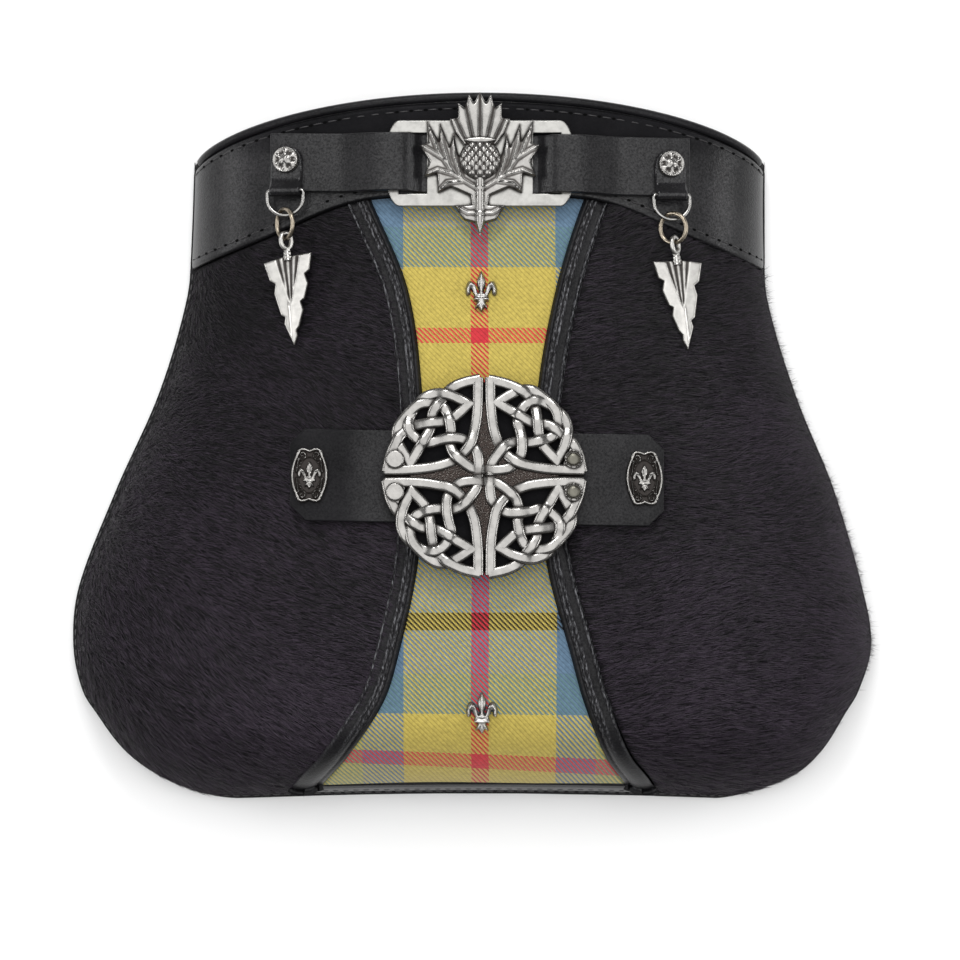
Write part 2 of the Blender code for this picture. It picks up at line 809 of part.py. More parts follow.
def make_emblem():
    """Cast thistle on the plate: leaves and stem, bulb and tufted bloom."""
    lift = PLATE_LIFT + PLATE_THICKNESS + GAP
    place = seat(0.0, BELT_HEIGHT, lift) @ Matrix.Translation((0, -EMBLEM_CENTRE, 0))
    half = EMBLEM_WIDTH / 2
    finish = silver("emblem")
    leaves = mirrored(scaled(THISTLE_LEAF, half, EMBLEM_HEIGHT))
    emblem = flat_solid("emblem_thistle", [leaves], EMBLEM_THICKNESS, finish, place=place)
    bloom = mirrored(scaled(THISTLE_BLOOM, half, EMBLEM_HEIGHT))
    tuft = flat_solid("tuft", [bloom], EMBLEM_THICKNESS * 1.3, finish, base=EMBLEM_SINK, place=place)
    rise = EMBLEM_THICKNESS * 2.2
    bulb_place = place @ Matrix.Translation((0, BULB_UP, 1.5 * EMBLEM_SINK))
    bulb = turned("bulb", scaled(THISTLE_BULB, BULB_HALF, rise), 16, finish,
                  bulb_place @ Matrix.Diagonal((1.0, BULB_TALL, 1.0, 1.0)))
    join(emblem, [tuft, bulb])


BAND_LIFT = BORDER_LIFT + 1.6 * GAP


def make_band():
    """Wide leather band across the front, behind the clasp, with clipped corners."""
    half = BAND_LENGTH / 2
    rows = []
    columns = 14
    clip = BAND_CLIP / half
    outs = [-1.0] + [(-1 + clip) + (2 - 2 * clip) * k / columns for k in range(columns + 1)] + [1.0]
    for share in (-1.0, -0.5, 0.0, 0.5, 1.0):
        row = []
        for out in outs:
            reach = BAND_WIDTH / 2 - (BAND_CLIP if abs(out) == 1.0 else 0.0)
            y = BAND_HEIGHT + share * reach - out * BAND_DROP
            row.append(on_front(out * half + BAND_SHIFT, y, BAND_LIFT))
        rows.append(row)
    shell("lower_band", rows, black_leather("band"), STRAP_THICKNESS, outward=True)


BACKING_LIFT = BAND_LIFT + STRAP_THICKNESS + GAP
KNOT_LIFT = BACKING_LIFT + STRAP_THICKNESS + GAP


def clasp_place(lift):
    return seat(CLASP_RIGHT, BAND_HEIGHT - CLASP_BELOW, lift)


def knot_dome(x, y):
    """Height of the clasp's middle surface above its edge."""
    return CLASP_DOME * max(0.0, 1 - (x * x + y * y) / CLASP_RADIUS ** 2)


def strand(name, table, turn):
    """One strand of the knot as a ribbon with a bevelled top, over and under its neighbours."""
    points = []
    for right, up, level in table:
        x = right * CLASP_RADIUS / 100
        y = up * CLASP_RADIUS / 100
        for _ in range(turn):
            x, y = y, -x
        points.append(Vector((x, y, knot_dome(x, y) + level * WEAVE_RISE)))
    half = CLASP_STRAND / 2
    top = half * 0.62
    section = ((-half, 0.0), (half, 0.0), (top, CLASP_THICKNESS), (-top, CLASP_THICKNESS))
    work = bmesh.new()
    rings = []
    for k, point in enumerate(points):
        before = points[max(k - 1, 0)]
        after = points[min(k + 1, len(points) - 1)]
        way_in = (point - before) if k else (after - point)
        way_out = (after - point) if k < len(points) - 1 else way_in
        a = Vector((way_in.x, way_in.y)).normalized()
        b = Vector((way_out.x, way_out.y)).normalized()
        run = (a + b).normalized()
        side = Vector((run.y, -run.x, 0.0))
        widen = min(1 / max(run.dot(a), 0.4), 1.7)
        corners = [point + side * (across * widen) + Vector((0, 0, up)) for across, up in section]
        rings.append([work.verts.new(corner) for corner in corners])
    for low, high in zip(rings, rings[1:]):
        for k in range(len(section)):
            n = (k + 1) % len(section)
            work.faces.new((low[k], low[n], high[n], high[k]))
    work.faces.new(rings[0])
    work.faces.new(rings[-1])
    bmesh.ops.recalc_face_normals(work, faces=work.faces)
    mesh = bpy.data.meshes.new(name)
    work.to_mesh(mesh)
    work.free()
    return add_object(name, mesh, None)


def make_clasp():
    """Leather disc, pierced knot with its grounds, and four rivets."""
    disc = ellipse(BACKING_RADIUS, BACKING_RADIUS, DISC_STEPS)
    place = clasp_place(BACKING_LIFT)
    flat_solid("clasp_backing", [disc], STRAP_THICKNESS, black_leather("backing"), place=place)
    ground = []
    for turn in range(4):
        for right, up, _ in GROUND_BENDS:
            x = right * CLASP_RADIUS / 100
            y = up * CLASP_RADIUS / 100
            for _ in range(turn):
                x, y = y, -x
            ground.append((x, y))
    finish = silver("knot")
    knot = flat_solid("clasp_knot", [ground], GROUND_THICKNESS, finish, CLASP_DOME * GROUND_RISE)
    join(knot, [strand("strand", table, turn) for turn in range(4) for table in STRANDS])
    knot.data.transform(clasp_place(KNOT_LIFT + WEAVE_RISE))
    knot.data.materials.clear()
    knot.data.materials.append(finish)
    lift = KNOT_LIFT + 2 * WEAVE_RISE + CLASP_THICKNESS + CLASP_DOME * 0.25 + GAP
    for level, up in (("upper", 1), ("lower", -1)):
        for side, right in (("left", -1), ("right", 1)):
            spot = clasp_place(lift) @ Matrix.Translation((right * CLASP_RIVET_OUT, up * CLASP_RIVET_UP, 0))
            dome_rivet(f"clasp_rivet_{level}_{side}", CLASP_RIVET / 2, CLASP_RIVET_HEIGHT, spot)


# Profile of a rivet's head, as shares of its radius and height
RIVET_HEAD = (
    # radius, rise
    (0.00, 1.00), (0.60, 0.85), (0.93, 0.45), (1.00, 0.00), (0.00, 0.00),
)


def dome_rivet(name, radius, height, place):
    """Low domed rivet head."""
    turned(name, scaled(RIVET_HEAD, radius, height), RIVET_STEPS, silver(name), place)


# Half outline of a lily, as shares of its half width and of its height from its foot
LILY = (
    # out, up
    (0.00, 1.00), (0.24, 0.80), (0.26, 0.66), (0.13, 0.50), (0.22, 0.45), (0.45, 0.70),
    (0.80, 0.74), (1.00, 0.55), (0.90, 0.40), (0.70, 0.44), (0.66, 0.56), (0.42, 0.40),
    (0.50, 0.33), (0.50, 0.27), (0.26, 0.26), (0.40, 0.08), (0.22, 0.12), (0.00, 0.00),
)


def lily_outline(wide, high):
    points = mirrored(scaled(LILY, wide / 2, high))
    return [(x, y - high / 2) for x, y in points]


# Profile of the ridge up a lily, as shares of its half length and of FLEUR_RIDGE
LILY_RIDGE = (
    # out, up
    (0.00, 1.00), (0.75, 0.68), (1.00, 0.10), (0.00, 0.10),
)
RIDGE_HALF = FLEUR_HEIGHT * 0.31
RIDGE_SLIMNESS = 0.23
FLEURS = (
    # label, right of the middle as a share of FLEUR_WIDTH, height as a share of SIDE_HEIGHT
    ("upper", 0.04, 0.791),
    ("lower", 0.06, 0.142),
)


def make_fleurs():
    """Two lily studs on the tartan."""
    for label, right, up in FLEURS:
        place = seat(right * FLEUR_WIDTH, BAG_FOOT + up * SIDE_HEIGHT, GAP)
        stud = flat_solid("fleur_stud_" + label, [lily_outline(FLEUR_WIDTH, FLEUR_HEIGHT)],
                          FLEUR_THICKNESS, silver("fleur"), place=place)
        ridge = turned("ridge", scaled(LILY_RIDGE, RIDGE_HALF, FLEUR_RIDGE), 8, None,
                       place @ Matrix.Diagonal((RIDGE_SLIMNESS, 1.0, 1.0, 1.0)))
        join(stud, [ridge])


def barrel(half_wide, half_high, bow):
    """Outline with a bulge on each side and flat ends with small scallops."""
    points = []
    for side in (1, -1):
        for k in range(7):
            t = k / 6 * 2 - 1
            points.append((side * (half_wide - bow * t * t), side * half_high * t * 0.86))
        points.append((side * half_wide * 0.42, side * half_high))
        points.append((0.0, side * half_high * 0.93))
        points.append((-side * half_wide * 0.42, side * half_high))
    return points


def make_cartouches():
    """Barrel-shaped conchos with a raised frame round a lily."""
    half_wide = CARTOUCHE_WIDTH / 2
    half_high = CARTOUCHE_HEIGHT / 2
    lift = BAND_LIFT + STRAP_THICKNESS + GAP
    relief = CARTOUCHE_THICKNESS * 0.75
    for label, side in (("left", -1), ("right", 1)):
        x = BAND_SHIFT + side * (BAND_LENGTH / 2 - CARTOUCHE_INSET)
        place = seat(x, BAND_HEIGHT - side * BAND_DROP / 2, lift)
        outer = barrel(half_wide, half_high, CARTOUCHE_BOW)
        finish = silver("cartouche")
        base = flat_solid("cartouche_" + label, [outer], CARTOUCHE_THICKNESS, finish, place=place)
        inner = scaled(outer, 0.8, 0.85)
        edge = scaled(outer, 0.97, 0.98)
        frame = flat_solid("frame", [edge, inner], CARTOUCHE_RELIEF * 1.1, None, relief, place)
        lily = flat_solid("lily", [lily_outline(CARTOUCHE_WIDTH * 0.5, CARTOUCHE_HEIGHT * 0.45)],
                          CARTOUCHE_RELIEF, None, relief, place)
        join(base, [frame, lily])


TAB_LIFT = BELT_LIFT + STRAP_THICKNESS + GAP
LOOP_RADIUS = D_RING_WIRE / 2 + GAP + LOOP_WALL
BAR_LIFT = TAB_LIFT + LOOP_RADIUS


def tab_profile():
    """Side view of a tab, from its top end down to the loop round the D-ring's bar."""
    points = [(0.0, 0.0), (TAB_LENGTH, 0.0)]
    count = 8
    for k in range(1, count):
        angle = -math.pi / 2 + math.pi * k / count
        points.append((TAB_LENGTH + LOOP_RADIUS * math.cos(angle), LOOP_RADIUS * (1 + math.sin(angle))))
    points.append((TAB_LENGTH, 2 * LOOP_RADIUS))
    points.append((TAB_LENGTH - 2.5 * LOOP_RADIUS, TAB_THICKNESS))
    points.append((0.0, TAB_THICKNESS))
    bore_radius = D_RING_WIRE / 2 + GAP
    bore = ellipse(bore_radius, bore_radius, RING_STEPS - 2, centre=(TAB_LENGTH, LOOP_RADIUS))
    return [points, bore]


def d_ring_points():
    """Middle line of a D-ring whose bar is at the origin along X."""
    half = (D_RING_WIDTH - D_RING_WIRE) / 2
    deep = D_RING_DEPTH - D_RING_WIRE
    corner = deep * 0.3
    points = [(-half, 0, 0), (-half * 0.5, 0, 0), (half * 0.5, 0, 0), (half, 0, 0), (half, -corner, 0)]
    count = 8
    for k in range(1, count):
        angle = math.pi * k / count
        points.append((half * math.cos(angle), -corner - (deep - corner) * math.sin(angle), 0))
    points.append((-half, -corner, 0))
    return points


# Right half of the arrowhead blade, with its flaked notches, as shares of its half width and length
BLADE_RIGHT = (
    # out, down
    (0.16, 0.02), (1.00, 0.00), (0.86, 0.19), (0.66, 0.23), (0.76, 0.33), (0.56, 0.50),
    (0.40, 0.53), (0.48, 0.62), (0.26, 0.80), (0.14, 0.84), (0.16, 0.90), (0.00, 1.00),
)
BLADE_LEFT = (
    # out, down
    (0.16, 0.02), (1.00, 0.07), (0.80, 0.27), (0.58, 0.31), (0.66, 0.42), (0.44, 0.66),
    (0.28, 0.69), (0.34, 0.76),
)
DROPS = (
    # label, side, bar out as a share of BELT_LENGTH, bar below the belt's middle as a share of BELT_WIDTH,
    # and to the right of the bar as shares of BLADE_WIDTH: the jump ring and the tip
    ("left", -1, 0.4584, 0.456, -0.012, 0.123),
    ("right", 1, 0.4511, 0.528, 0.031, 0.380),
)
RIVET_UP = TAB_LENGTH * 0.17


def make_drops():
    """Tabs, rivets, D-rings, jump rings and arrowheads, each linked through the next."""
    d_reach = D_RING_DEPTH - D_RING_WIRE
    jump_radius = (JUMP_RING - JUMP_WIRE) / 2
    jump_hole = jump_radius - JUMP_WIRE / 2
    bail_drop = jump_hole - LINK_GAP / 2 - BAIL_WIRE / 2 + (BAIL_LENGTH - BAIL_WIRE) / 2
    for label, side, out, below, jump_right, tip_right in DROPS:
        bar_x = side * out * BELT_LENGTH
        bar_y = BELT_HEIGHT - below * BELT_WIDTH
        jump_x = bar_x + jump_right * BLADE_WIDTH
        tip_x = bar_x + tip_right * BLADE_WIDTH
        tab_seat = seat(bar_x, bar_y + TAB_LENGTH / 2, TAB_LIFT)
        upright = Matrix(((0, 0, 1, -TAB_WIDTH / 2), (-1, 0, 0, TAB_LENGTH / 2), (0, 1, 0, 0), (0, 0, 0, 1)))
        tab_place = tab_seat @ upright
        flat_solid("ring_tab_" + label, tab_profile(), TAB_WIDTH, black_leather("tab"), place=tab_place)
        rivet_at = tab_seat @ Matrix.Translation((0, RIVET_UP, TAB_THICKNESS + GAP))
        dome_rivet("rivet_" + label, STUD_RIVET / 2, STUD_RIVET_HEIGHT, rivet_at)

        bar = (tab_seat @ Matrix.Translation((0, -TAB_LENGTH / 2, LOOP_RADIUS))).to_translation()
        normal = front_normal(bar_x, bar_y)
        hook = jump_hole - D_RING_WIRE / 2 - LINK_GAP
        jump_y = bar.y - d_reach - hook
        jump = on_front(jump_x, jump_y, BAR_LIFT)
        down = (jump - bar).normalized()
        wire("d_ring_" + label, d_ring_points(), D_RING_WIRE, silver("ring"), place=aimed(bar, down, normal))
        jump = bar + down * (d_reach + hook)

        tip_y = jump_y - bail_drop - SHOULDER_DROP - BLADE_LENGTH
        tip = on_front(tip_x, tip_y, BLADE_THICKNESS / 2 + BLADE_REST)
        hang = (tip - jump).normalized()
        ring = [(x, y, 0.0) for x, y in ellipse(jump_radius, jump_radius, RING_STEPS)]
        ring_place = aimed(jump, hang, normal, -JUMP_TURN)
        wire("jump_ring_" + label, ring, JUMP_WIRE, silver("jump"), place=ring_place)

        bail = jump + hang * bail_drop
        way = (tip - bail).normalized()
        place = aimed(bail, way, normal)
        bail_half = (BAIL_WIDTH - BAIL_WIRE) / 2
        bail_reach = (BAIL_LENGTH - BAIL_WIRE) / 2
        ring = [(x, y, 0.0) for x, y in ellipse(bail_half, bail_reach, RING_STEPS)]
        loop_place = aimed(bail, way, normal, math.pi / 2 - JUMP_TURN)
        loop = wire("bail", ring, BAIL_WIRE, None, place=loop_place)
        shoulder = (tip - bail).length - BLADE_LENGTH
        make_blade("pendant_" + label, side, shoulder, loop, place)


def make_blade(name, side, shoulder, loop, place):
    """Arrowhead with a raised spine, a ribbed groove at its shoulders and its bail."""
    half = BLADE_WIDTH / 2
    right = [(x * half, -shoulder - y * BLADE_LENGTH) for x, y in BLADE_RIGHT]
    left = [(-x * half, -shoulder - y * BLADE_LENGTH) for x, y in reversed(BLADE_LEFT)]
    points = right + left
    if side > 0:
        points = [(-x, y) for x, y in points]
    top = BLADE_THICKNESS / 2
    blade = flat_solid(name, [points], BLADE_THICKNESS, silver("pendant"), base=-top, place=place)
    spine_half = half * 0.16
    spine_top = -(BAIL_LENGTH - BAIL_WIRE) / 2
    waist = -shoulder - BLADE_LENGTH * 0.4
    point = -shoulder - BLADE_LENGTH * 0.93
    spine = mirrored([(spine_half, spine_top), (spine_half, waist), (0.0, point)])
    ridge = flat_solid("ridge", [spine], SPINE_THICKNESS, None, SPINE_SINK - top, place)
    reach = half * 0.62
    high = GROOVE_RISE + GROOVE_WIDTH / 2
    low = GROOVE_RISE - GROOVE_WIDTH / 2
    grooves = []
    for k in (1, 2):
        y = -shoulder - BLADE_LENGTH * (0.02 + 0.11 * k)
        cut = mirrored([(0.0, y - low), (reach, y + high), (reach, y + low), (0.0, y - high)])
        grooves.append(flat_solid("groove", [cut], BLADE_THICKNESS, None, top - GROOVE_DEPTH, place))
    join(blade, [ridge, loop])
    join(blade, grooves, "DIFFERENCE")


def main():
    start_empty()
    make_back()
    make_welt()
    make_front()
    make_yoke()
    make_rim()
    make_belt()
    make_plate()
    make_emblem()
    make_band()
    make_clasp()
    make_cartouches()
    make_fleurs()
    make_drops()


main()
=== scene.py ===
"""Looks of the sporran pouch: leather, fur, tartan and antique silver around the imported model."""
import math

import bmesh
import bpy
import numpy as np
from mathutils import Matrix, Vector
from mathutils.geometry import delaunay_2d_cdt


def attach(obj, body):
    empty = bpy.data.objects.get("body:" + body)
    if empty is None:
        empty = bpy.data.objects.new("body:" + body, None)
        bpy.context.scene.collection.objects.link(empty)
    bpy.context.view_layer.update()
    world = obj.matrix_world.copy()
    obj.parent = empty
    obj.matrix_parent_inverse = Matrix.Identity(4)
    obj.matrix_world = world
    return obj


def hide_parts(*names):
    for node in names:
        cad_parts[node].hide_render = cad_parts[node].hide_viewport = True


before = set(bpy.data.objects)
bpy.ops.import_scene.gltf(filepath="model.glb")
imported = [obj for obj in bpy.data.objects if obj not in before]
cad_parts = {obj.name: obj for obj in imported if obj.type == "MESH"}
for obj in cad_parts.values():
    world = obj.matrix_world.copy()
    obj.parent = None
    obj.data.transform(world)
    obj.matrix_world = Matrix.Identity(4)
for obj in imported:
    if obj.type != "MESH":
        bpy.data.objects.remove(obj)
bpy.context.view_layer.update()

MM = 0.001
GAP = 0.3 * MM

# The pouch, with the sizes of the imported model
BAG_WIDTH = 267 * MM
SIDE_HEIGHT = 213 * MM
BAG_FOOT = -106.5 * MM
BAG_DEPTH = 50 * MM
RIM_RISE = 21.8 * MM
BOTTOM_ARCH = 1.6 * MM
BACK_THICKNESS = 2.2 * MM
WELT_THICKNESS = 1.8 * MM
WELT_WIDTH = 6.0 * MM
WELT_TOP = BACK_THICKNESS + GAP + WELT_THICKNESS
FRONT_FOOT = WELT_TOP + GAP
FRONT_INSET = 2.0 * MM
PANEL_THICKNESS = 2.0 * MM
YOKE_LIFT = 1.5 * MM
BORDER_WIDTH = 7.8 * MM
BORDER_LIFT = 1.2 * MM
FOOT_BAND_HEIGHT = 2.3 * MM
FOOT_BAND_LIFT = 0.8 * MM
RIM_BEAD = 3.0 * MM
TARTAN_HALF = 52 * MM

# Straps
STRAP_THICKNESS = 2.0 * MM
BELT_WIDTH = 19.5 * MM
BELT_LENGTH = 137 * MM
BELT_HEIGHT = BAG_FOOT + SIDE_HEIGHT - 2.6 * MM
BELT_TILT = 0.012
BELT_SLACK = 1.3 * MM
BELT_LIFT = YOKE_LIFT + GAP
# How far past the plate the belt takes to come down to the yoke
BELT_FALL = 17 * MM
BAND_LENGTH = 122 * MM
BAND_WIDTH = 30 * MM
BAND_HEIGHT = 0.4 * MM
BAND_SHIFT = -1.0 * MM
BAND_DROP = 1.0 * MM
BAND_CLIP = 5.0 * MM
BAND_LIFT = BORDER_LIFT + 1.6 * GAP
TAB_WIDTH = 10.3 * MM
TAB_LENGTH = 15 * MM
TAB_THICKNESS = 2.0 * MM
TAB_LIFT = BELT_LIFT + STRAP_THICKNESS + GAP

# Metal
PLATE_LENGTH = 63 * MM
PLATE_WIDTH = 28.7 * MM
PLATE_THICKNESS = 1.6 * MM
PLATE_BAR = 4.7 * MM
PLATE_BOW = 5.0 * MM
PLATE_LIFT = BELT_LIFT + STRAP_THICKNESS + GAP
SLOT_LENGTH = 9.3 * MM
SLOT_SLACK = 0.4 * MM
SLOT_OUTER = PLATE_LENGTH / 2 - PLATE_BAR
SLOT_INNER = SLOT_OUTER - SLOT_LENGTH
OVER_BAR_LIFT = PLATE_LIFT + PLATE_THICKNESS + 1.5 * GAP
EMBLEM_WIDTH = 40 * MM
EMBLEM_HEIGHT = 48 * MM
EMBLEM_CENTRE = EMBLEM_HEIGHT * 0.51
EMBLEM_LIFT = PLATE_LIFT + PLATE_THICKNESS + GAP
BULB_HALF = EMBLEM_WIDTH * 0.17
BULB_UP = EMBLEM_HEIGHT * 0.53
CLASP_RADIUS = 33.6 * MM
CLASP_RIGHT = 1.4 * MM
CLASP_BELOW = 0.2 * MM
CLASP_STRAND = CLASP_RADIUS * 0.106
CLASP_DOME = CLASP_RADIUS * 0.072
BACKING_RADIUS = 31.5 * MM
BACKING_LIFT = BAND_LIFT + STRAP_THICKNESS + GAP
KNOT_LIFT = BACKING_LIFT + STRAP_THICKNESS + GAP
CLASP_RIVET = 6.2 * MM
STUD_RIVET = 8.8 * MM
CARTOUCHE_WIDTH = 12.2 * MM
CARTOUCHE_HEIGHT = 18 * MM
CARTOUCHE_BOW = 2.2 * MM
CARTOUCHE_INSET = 6.5 * MM
FLEUR_WIDTH = 10.4 * MM
FLEUR_HEIGHT = 14 * MM
D_RING_WIDTH = 13.4 * MM
D_RING_DEPTH = 9.7 * MM
D_RING_WIRE = 1.3 * MM
LOOP_RADIUS = D_RING_WIRE / 2 + GAP + 1.1 * MM
BAR_LIFT = TAB_LIFT + LOOP_RADIUS
LINK_GAP = 0.6 * MM
JUMP_RING = 11.3 * MM
JUMP_WIRE = 1.5 * MM
JUMP_TURN = math.radians(45)
BAIL_WIRE = 1.6 * MM
BAIL_LENGTH = 6.8 * MM
BAIL_WIDTH = 5.6 * MM
BLADE_WIDTH = 16.3 * MM
BLADE_LENGTH = 30 * MM
BLADE_THICKNESS = 1.8 * MM
BLADE_REST = 0.9 * MM
SHOULDER_DROP = 4.6 * MM

# Looks
CAMERA_HEIGHT = 2.5
CAMERA_LENS = 279.6
WORLD_STRENGTH = 0.20
HAIRS_A_PIECE = 36000
HAIR_LENGTH = 3.9 * MM
HAIR_WIDTH = 0.145 * MM
TWILL_PITCH = 0.43 * MM
CAST_BRIGHT = (0.30, 0.292, 0.28)
# Dark colour for tarnish in hollows, also used for painted shade on the knot
CAST_TARNISH_AND_SHADE = (0.016, 0.012, 0.010)
YOKE_STITCH = 4.8 * MM
SEAM_STITCH = 3.4 * MM
BORDER_STITCH = 2.6 * MM
THREAD_RADIUS = 0.24 * MM
TARTAN_WALL = 1.2 * MM
STRAP_EDGE = 0.4 * MM
RIVET_OUT = CLASP_RADIUS * 0.87
RIVET_UP = CLASP_RADIUS * 0.16
WEAVE_RISE = 0.72 * MM
STRAND_WIDTH = CLASP_STRAND * 1.04
STRAND_THICKNESS = 1.9 * MM

BOTH = (("left", -1), ("right", 1))

LIGHTS = (
    # label, place, size, power
    ("overhead", (0.0, 0.3, 3.0), (4.2, 4.2), 118),
    ("far_side", (-0.1, 1.4, 1.2), (0.7, 0.3), 13),
    ("left_strip", (-2.2, 0.1, 0.9), (2.0, 0.4), 20),
    ("right_strip", (2.2, 0.1, 0.9), (2.0, 0.4), 20),
)

TARTAN_COLOURS = {
    "yellow": (0.45, 0.355, 0.078),
    "grey": (0.090, 0.165, 0.180),
    "blue": (0.100, 0.165, 0.240),
    "red": (0.50, 0.030, 0.040),
    "black": (0.005, 0.005, 0.005),
    "pale": (0.17, 0.235, 0.155),
}
# Bands of the cloth from the left and from the foot
WARP_START = -62 * MM
WARP_BANDS = (
    # right edge, colour
    (-39 * MM, "pale"), (-25.6 * MM, "blue"), (-3.2 * MM, "yellow"), (2.5 * MM, "red"),
    (25.0 * MM, "yellow"), (38.0 * MM, "blue"), (62 * MM, "pale"),
)
WEFT_START = -107 * MM
WEFT_BANDS = (
    # upper edge, colour
    (-96.0 * MM, "yellow"), (-90.6 * MM, "red"), (-77.0 * MM, "yellow"), (-63.7 * MM, "grey"),
    (-49.7 * MM, "blue"), (-44.2 * MM, "black"), (11.0 * MM, "blue"), (24.5 * MM, "grey"),
    (44.6 * MM, "yellow"), (49.6 * MM, "red"), (69.7 * MM, "yellow"), (83.3 * MM, "grey"),
    (107 * MM, "blue"),
)

# The pouch's outlines, as shares of half the bag's width, half the tartan's and SIDE_HEIGHT
SIDES = (
    # height, left, right
    (0.000, 0.599, 0.579), (0.009, 0.699, 0.669), (0.037, 0.809, 0.789), (0.074, 0.889, 0.856),
    (0.131, 0.959, 0.914), (0.168, 0.996, 0.949), (0.243, 1.020, 0.981), (0.337, 1.004, 0.956),
    (0.487, 0.911, 0.886), (0.638, 0.804, 0.789), (0.788, 0.734, 0.719), (0.863, 0.724, 0.714),
    (1.000, 0.716, 0.714),
)
HOURGLASS = (
    # height, left, right
    (0.000, 1.080, 0.990), (0.023, 1.013, 0.935), (0.070, 0.846, 0.800), (0.156, 0.615, 0.660),
    (0.228, 0.519, 0.577), (0.364, 0.398, 0.427), (0.500, 0.360, 0.352), (0.625, 0.365, 0.360),
    (0.793, 0.458, 0.481), (0.930, 0.687, 0.654), (1.050, 0.900, 0.870),
)
FULLNESS = (
    # height, depth
    (0.00, 0.90), (0.20, 0.98), (0.32, 1.00), (0.50, 0.93), (0.75, 0.76), (0.93, 0.62), (1.10, 0.54),
)
YOKE_EDGE = (
    # out, height
    (0.00, 0.942), (0.20, 0.940), (0.38, 0.935), (0.52, 0.919), (0.75, 0.874), (1.00, 0.829),
)
TOE_HEIGHT = 0.13
SIDE_ROUND = 4.0
TOE_ROUND = 2.2
ROW_CROWDING = 1.7
FRONT_ROWS = 14

# The last column marks wear and painted glints on the ridges and the bead
# Section of a border, from the tartan outwards: a rolled edge, two worn ridges, a sewn groove and a bead
BORDER_SECTION = (
    # share of the width, height as a share of BORDER_LIFT, wear and painted glint
    (0.00, 0.15, 0.0), (0.05, 0.80, 0.0), (0.13, 1.20, 0.1), (0.21, 0.75, 0.0), (0.25, 0.50, 0.2),
    (0.31, 0.92, 0.9), (0.36, 1.02, 0.7), (0.41, 0.60, 0.1), (0.46, 0.92, 0.8), (0.52, 0.98, 0.9),
    (0.58, 0.45, 0.1), (0.64, 0.28, 0.0), (0.84, 0.28, 0.0), (0.89, 0.66, 0.7), (0.93, 1.00, 1.0),
    (0.97, 0.70, 0.7), (1.00, 0.20, 0.0),
)

# Strands of one quarter of the knot, from the clasp's centre, as hundredths of CLASP_RADIUS.
# The level is +1 where a strand passes over another and -1 where it passes under.
BAR_STRAND = (
    # right, up, level
    (6, 97, 0), (6, 77, 0), (7.5, 57, 0), (10.5, 41, 0), (17.5, 25.5, -1),
    (31, 13.5, 1), (47, 9, 0), (67, 6.5, 0), (97, 6, 0),
)
LOOP_STRAND = (
    # right, up, level
    (0, 6, -1), (13, 5.5, 0), (24, 7.5, 0), (31, 14, -1), (36, 22, 0), (36.5, 34, 1),
    (34.5, 45.5, 0), (32.5, 52.5, 0), (33.5, 59.5, -1), (36.5, 65.5, 0), (42.5, 71.5, 0),
    (49.5, 74, 1), (58, 72.5, 0), (64, 69.5, 0), (69.5, 65.5, -1), (77, 58.5, 0), (81, 48.5, 0),
    (80.5, 38, 1), (76.5, 26, 0), (70.5, 15.5, 0), (63, 23, 0), (57.5, 29.5, 0),
    (54.5, 34.5, -1), (53, 42.5, 0), (52, 52, 1), (50.5, 63, 0), (48, 72, -1), (42.5, 79, 0),
    (35.5, 84.5, 1), (21, 91, 0), (4, 95, 0),
)
HOOK_STRAND = (
    # right, up, level
    (6, 0, 0), (6, 6, -1), (8.5, 14, 0), (17.5, 26, 1), (25, 31.5, 0), (36.5, 34, -1),
    (44, 32.5, 0), (54.5, 34, 1), (62, 36.5, 0), (67.5, 40, 0), (70.5, 46.5, -1), (72, 54, 0),
    (69.5, 65, 1), (58.5, 76.5, 0), (46.5, 84.5, 0), (36, 85, -1), (30, 82.5, 0), (22, 78, 0),
    (13, 72, 0), (20, 67.5, 0), (28, 63, 0), (33.5, 59.5, 1), (43, 54, 0), (52, 51, -1),
    (61, 50.5, 0), (68.5, 46.5, 1), (75, 41, 0), (81, 37.5, -1), (87, 31, 0), (92, 20, 0),
    (95.5, 4, 0),
)
# Each strand with the points where it turns sharply
STRANDS = ((BAR_STRAND, ()), (LOOP_STRAND, (19,)), (HOOK_STRAND, (18,)))
STRAND_SECTION = (
    # share of the half width, share of the thickness, tarnish and painted shade
    (-1.0, 0.00, 1.0), (1.0, 0.00, 1.0), (1.0, 0.46, 1.0), (0.94, 0.66, 0.55), (0.80, 0.84, 0.25),
    (0.58, 0.95, 0.0), (0.30, 1.00, 0.0), (-0.30, 1.00, 0.0), (-0.58, 0.95, 0.0),
    (-0.80, 0.84, 0.25), (-0.94, 0.66, 0.55), (-1.0, 0.46, 1.0),
)
RIVET_LAND = (
    # out, up, as shares of CLASP_RADIUS
    (0.76, 0.03), (0.98, 0.03), (0.975, 0.12), (0.95, 0.24), (0.92, 0.31), (0.84, 0.27), (0.78, 0.15),
)

# Half outlines, as shares of a half width and of a height from the foot
THISTLE_BLOOM = (
    # out, up
    (0.00, 1.00), (0.10, 0.92), (0.18, 0.98), (0.25, 0.89), (0.36, 0.92), (0.37, 0.82),
    (0.49, 0.81), (0.40, 0.71), (0.26, 0.63), (0.00, 0.60),
)
THISTLE_LEAF = (
    # out, up
    (0.00, 0.45), (0.20, 0.47), (0.36, 0.57), (0.44, 0.72), (0.50, 0.62), (0.66, 0.79),
    (0.68, 0.66), (0.88, 0.81), (0.85, 0.65), (1.00, 0.63), (0.84, 0.52), (0.93, 0.41),
    (0.71, 0.43), (0.69, 0.30), (0.48, 0.34), (0.16, 0.28), (0.14, 0.22), (0.42, 0.21),
    (0.26, 0.11), (0.08, 0.09), (0.00, 0.00),
)
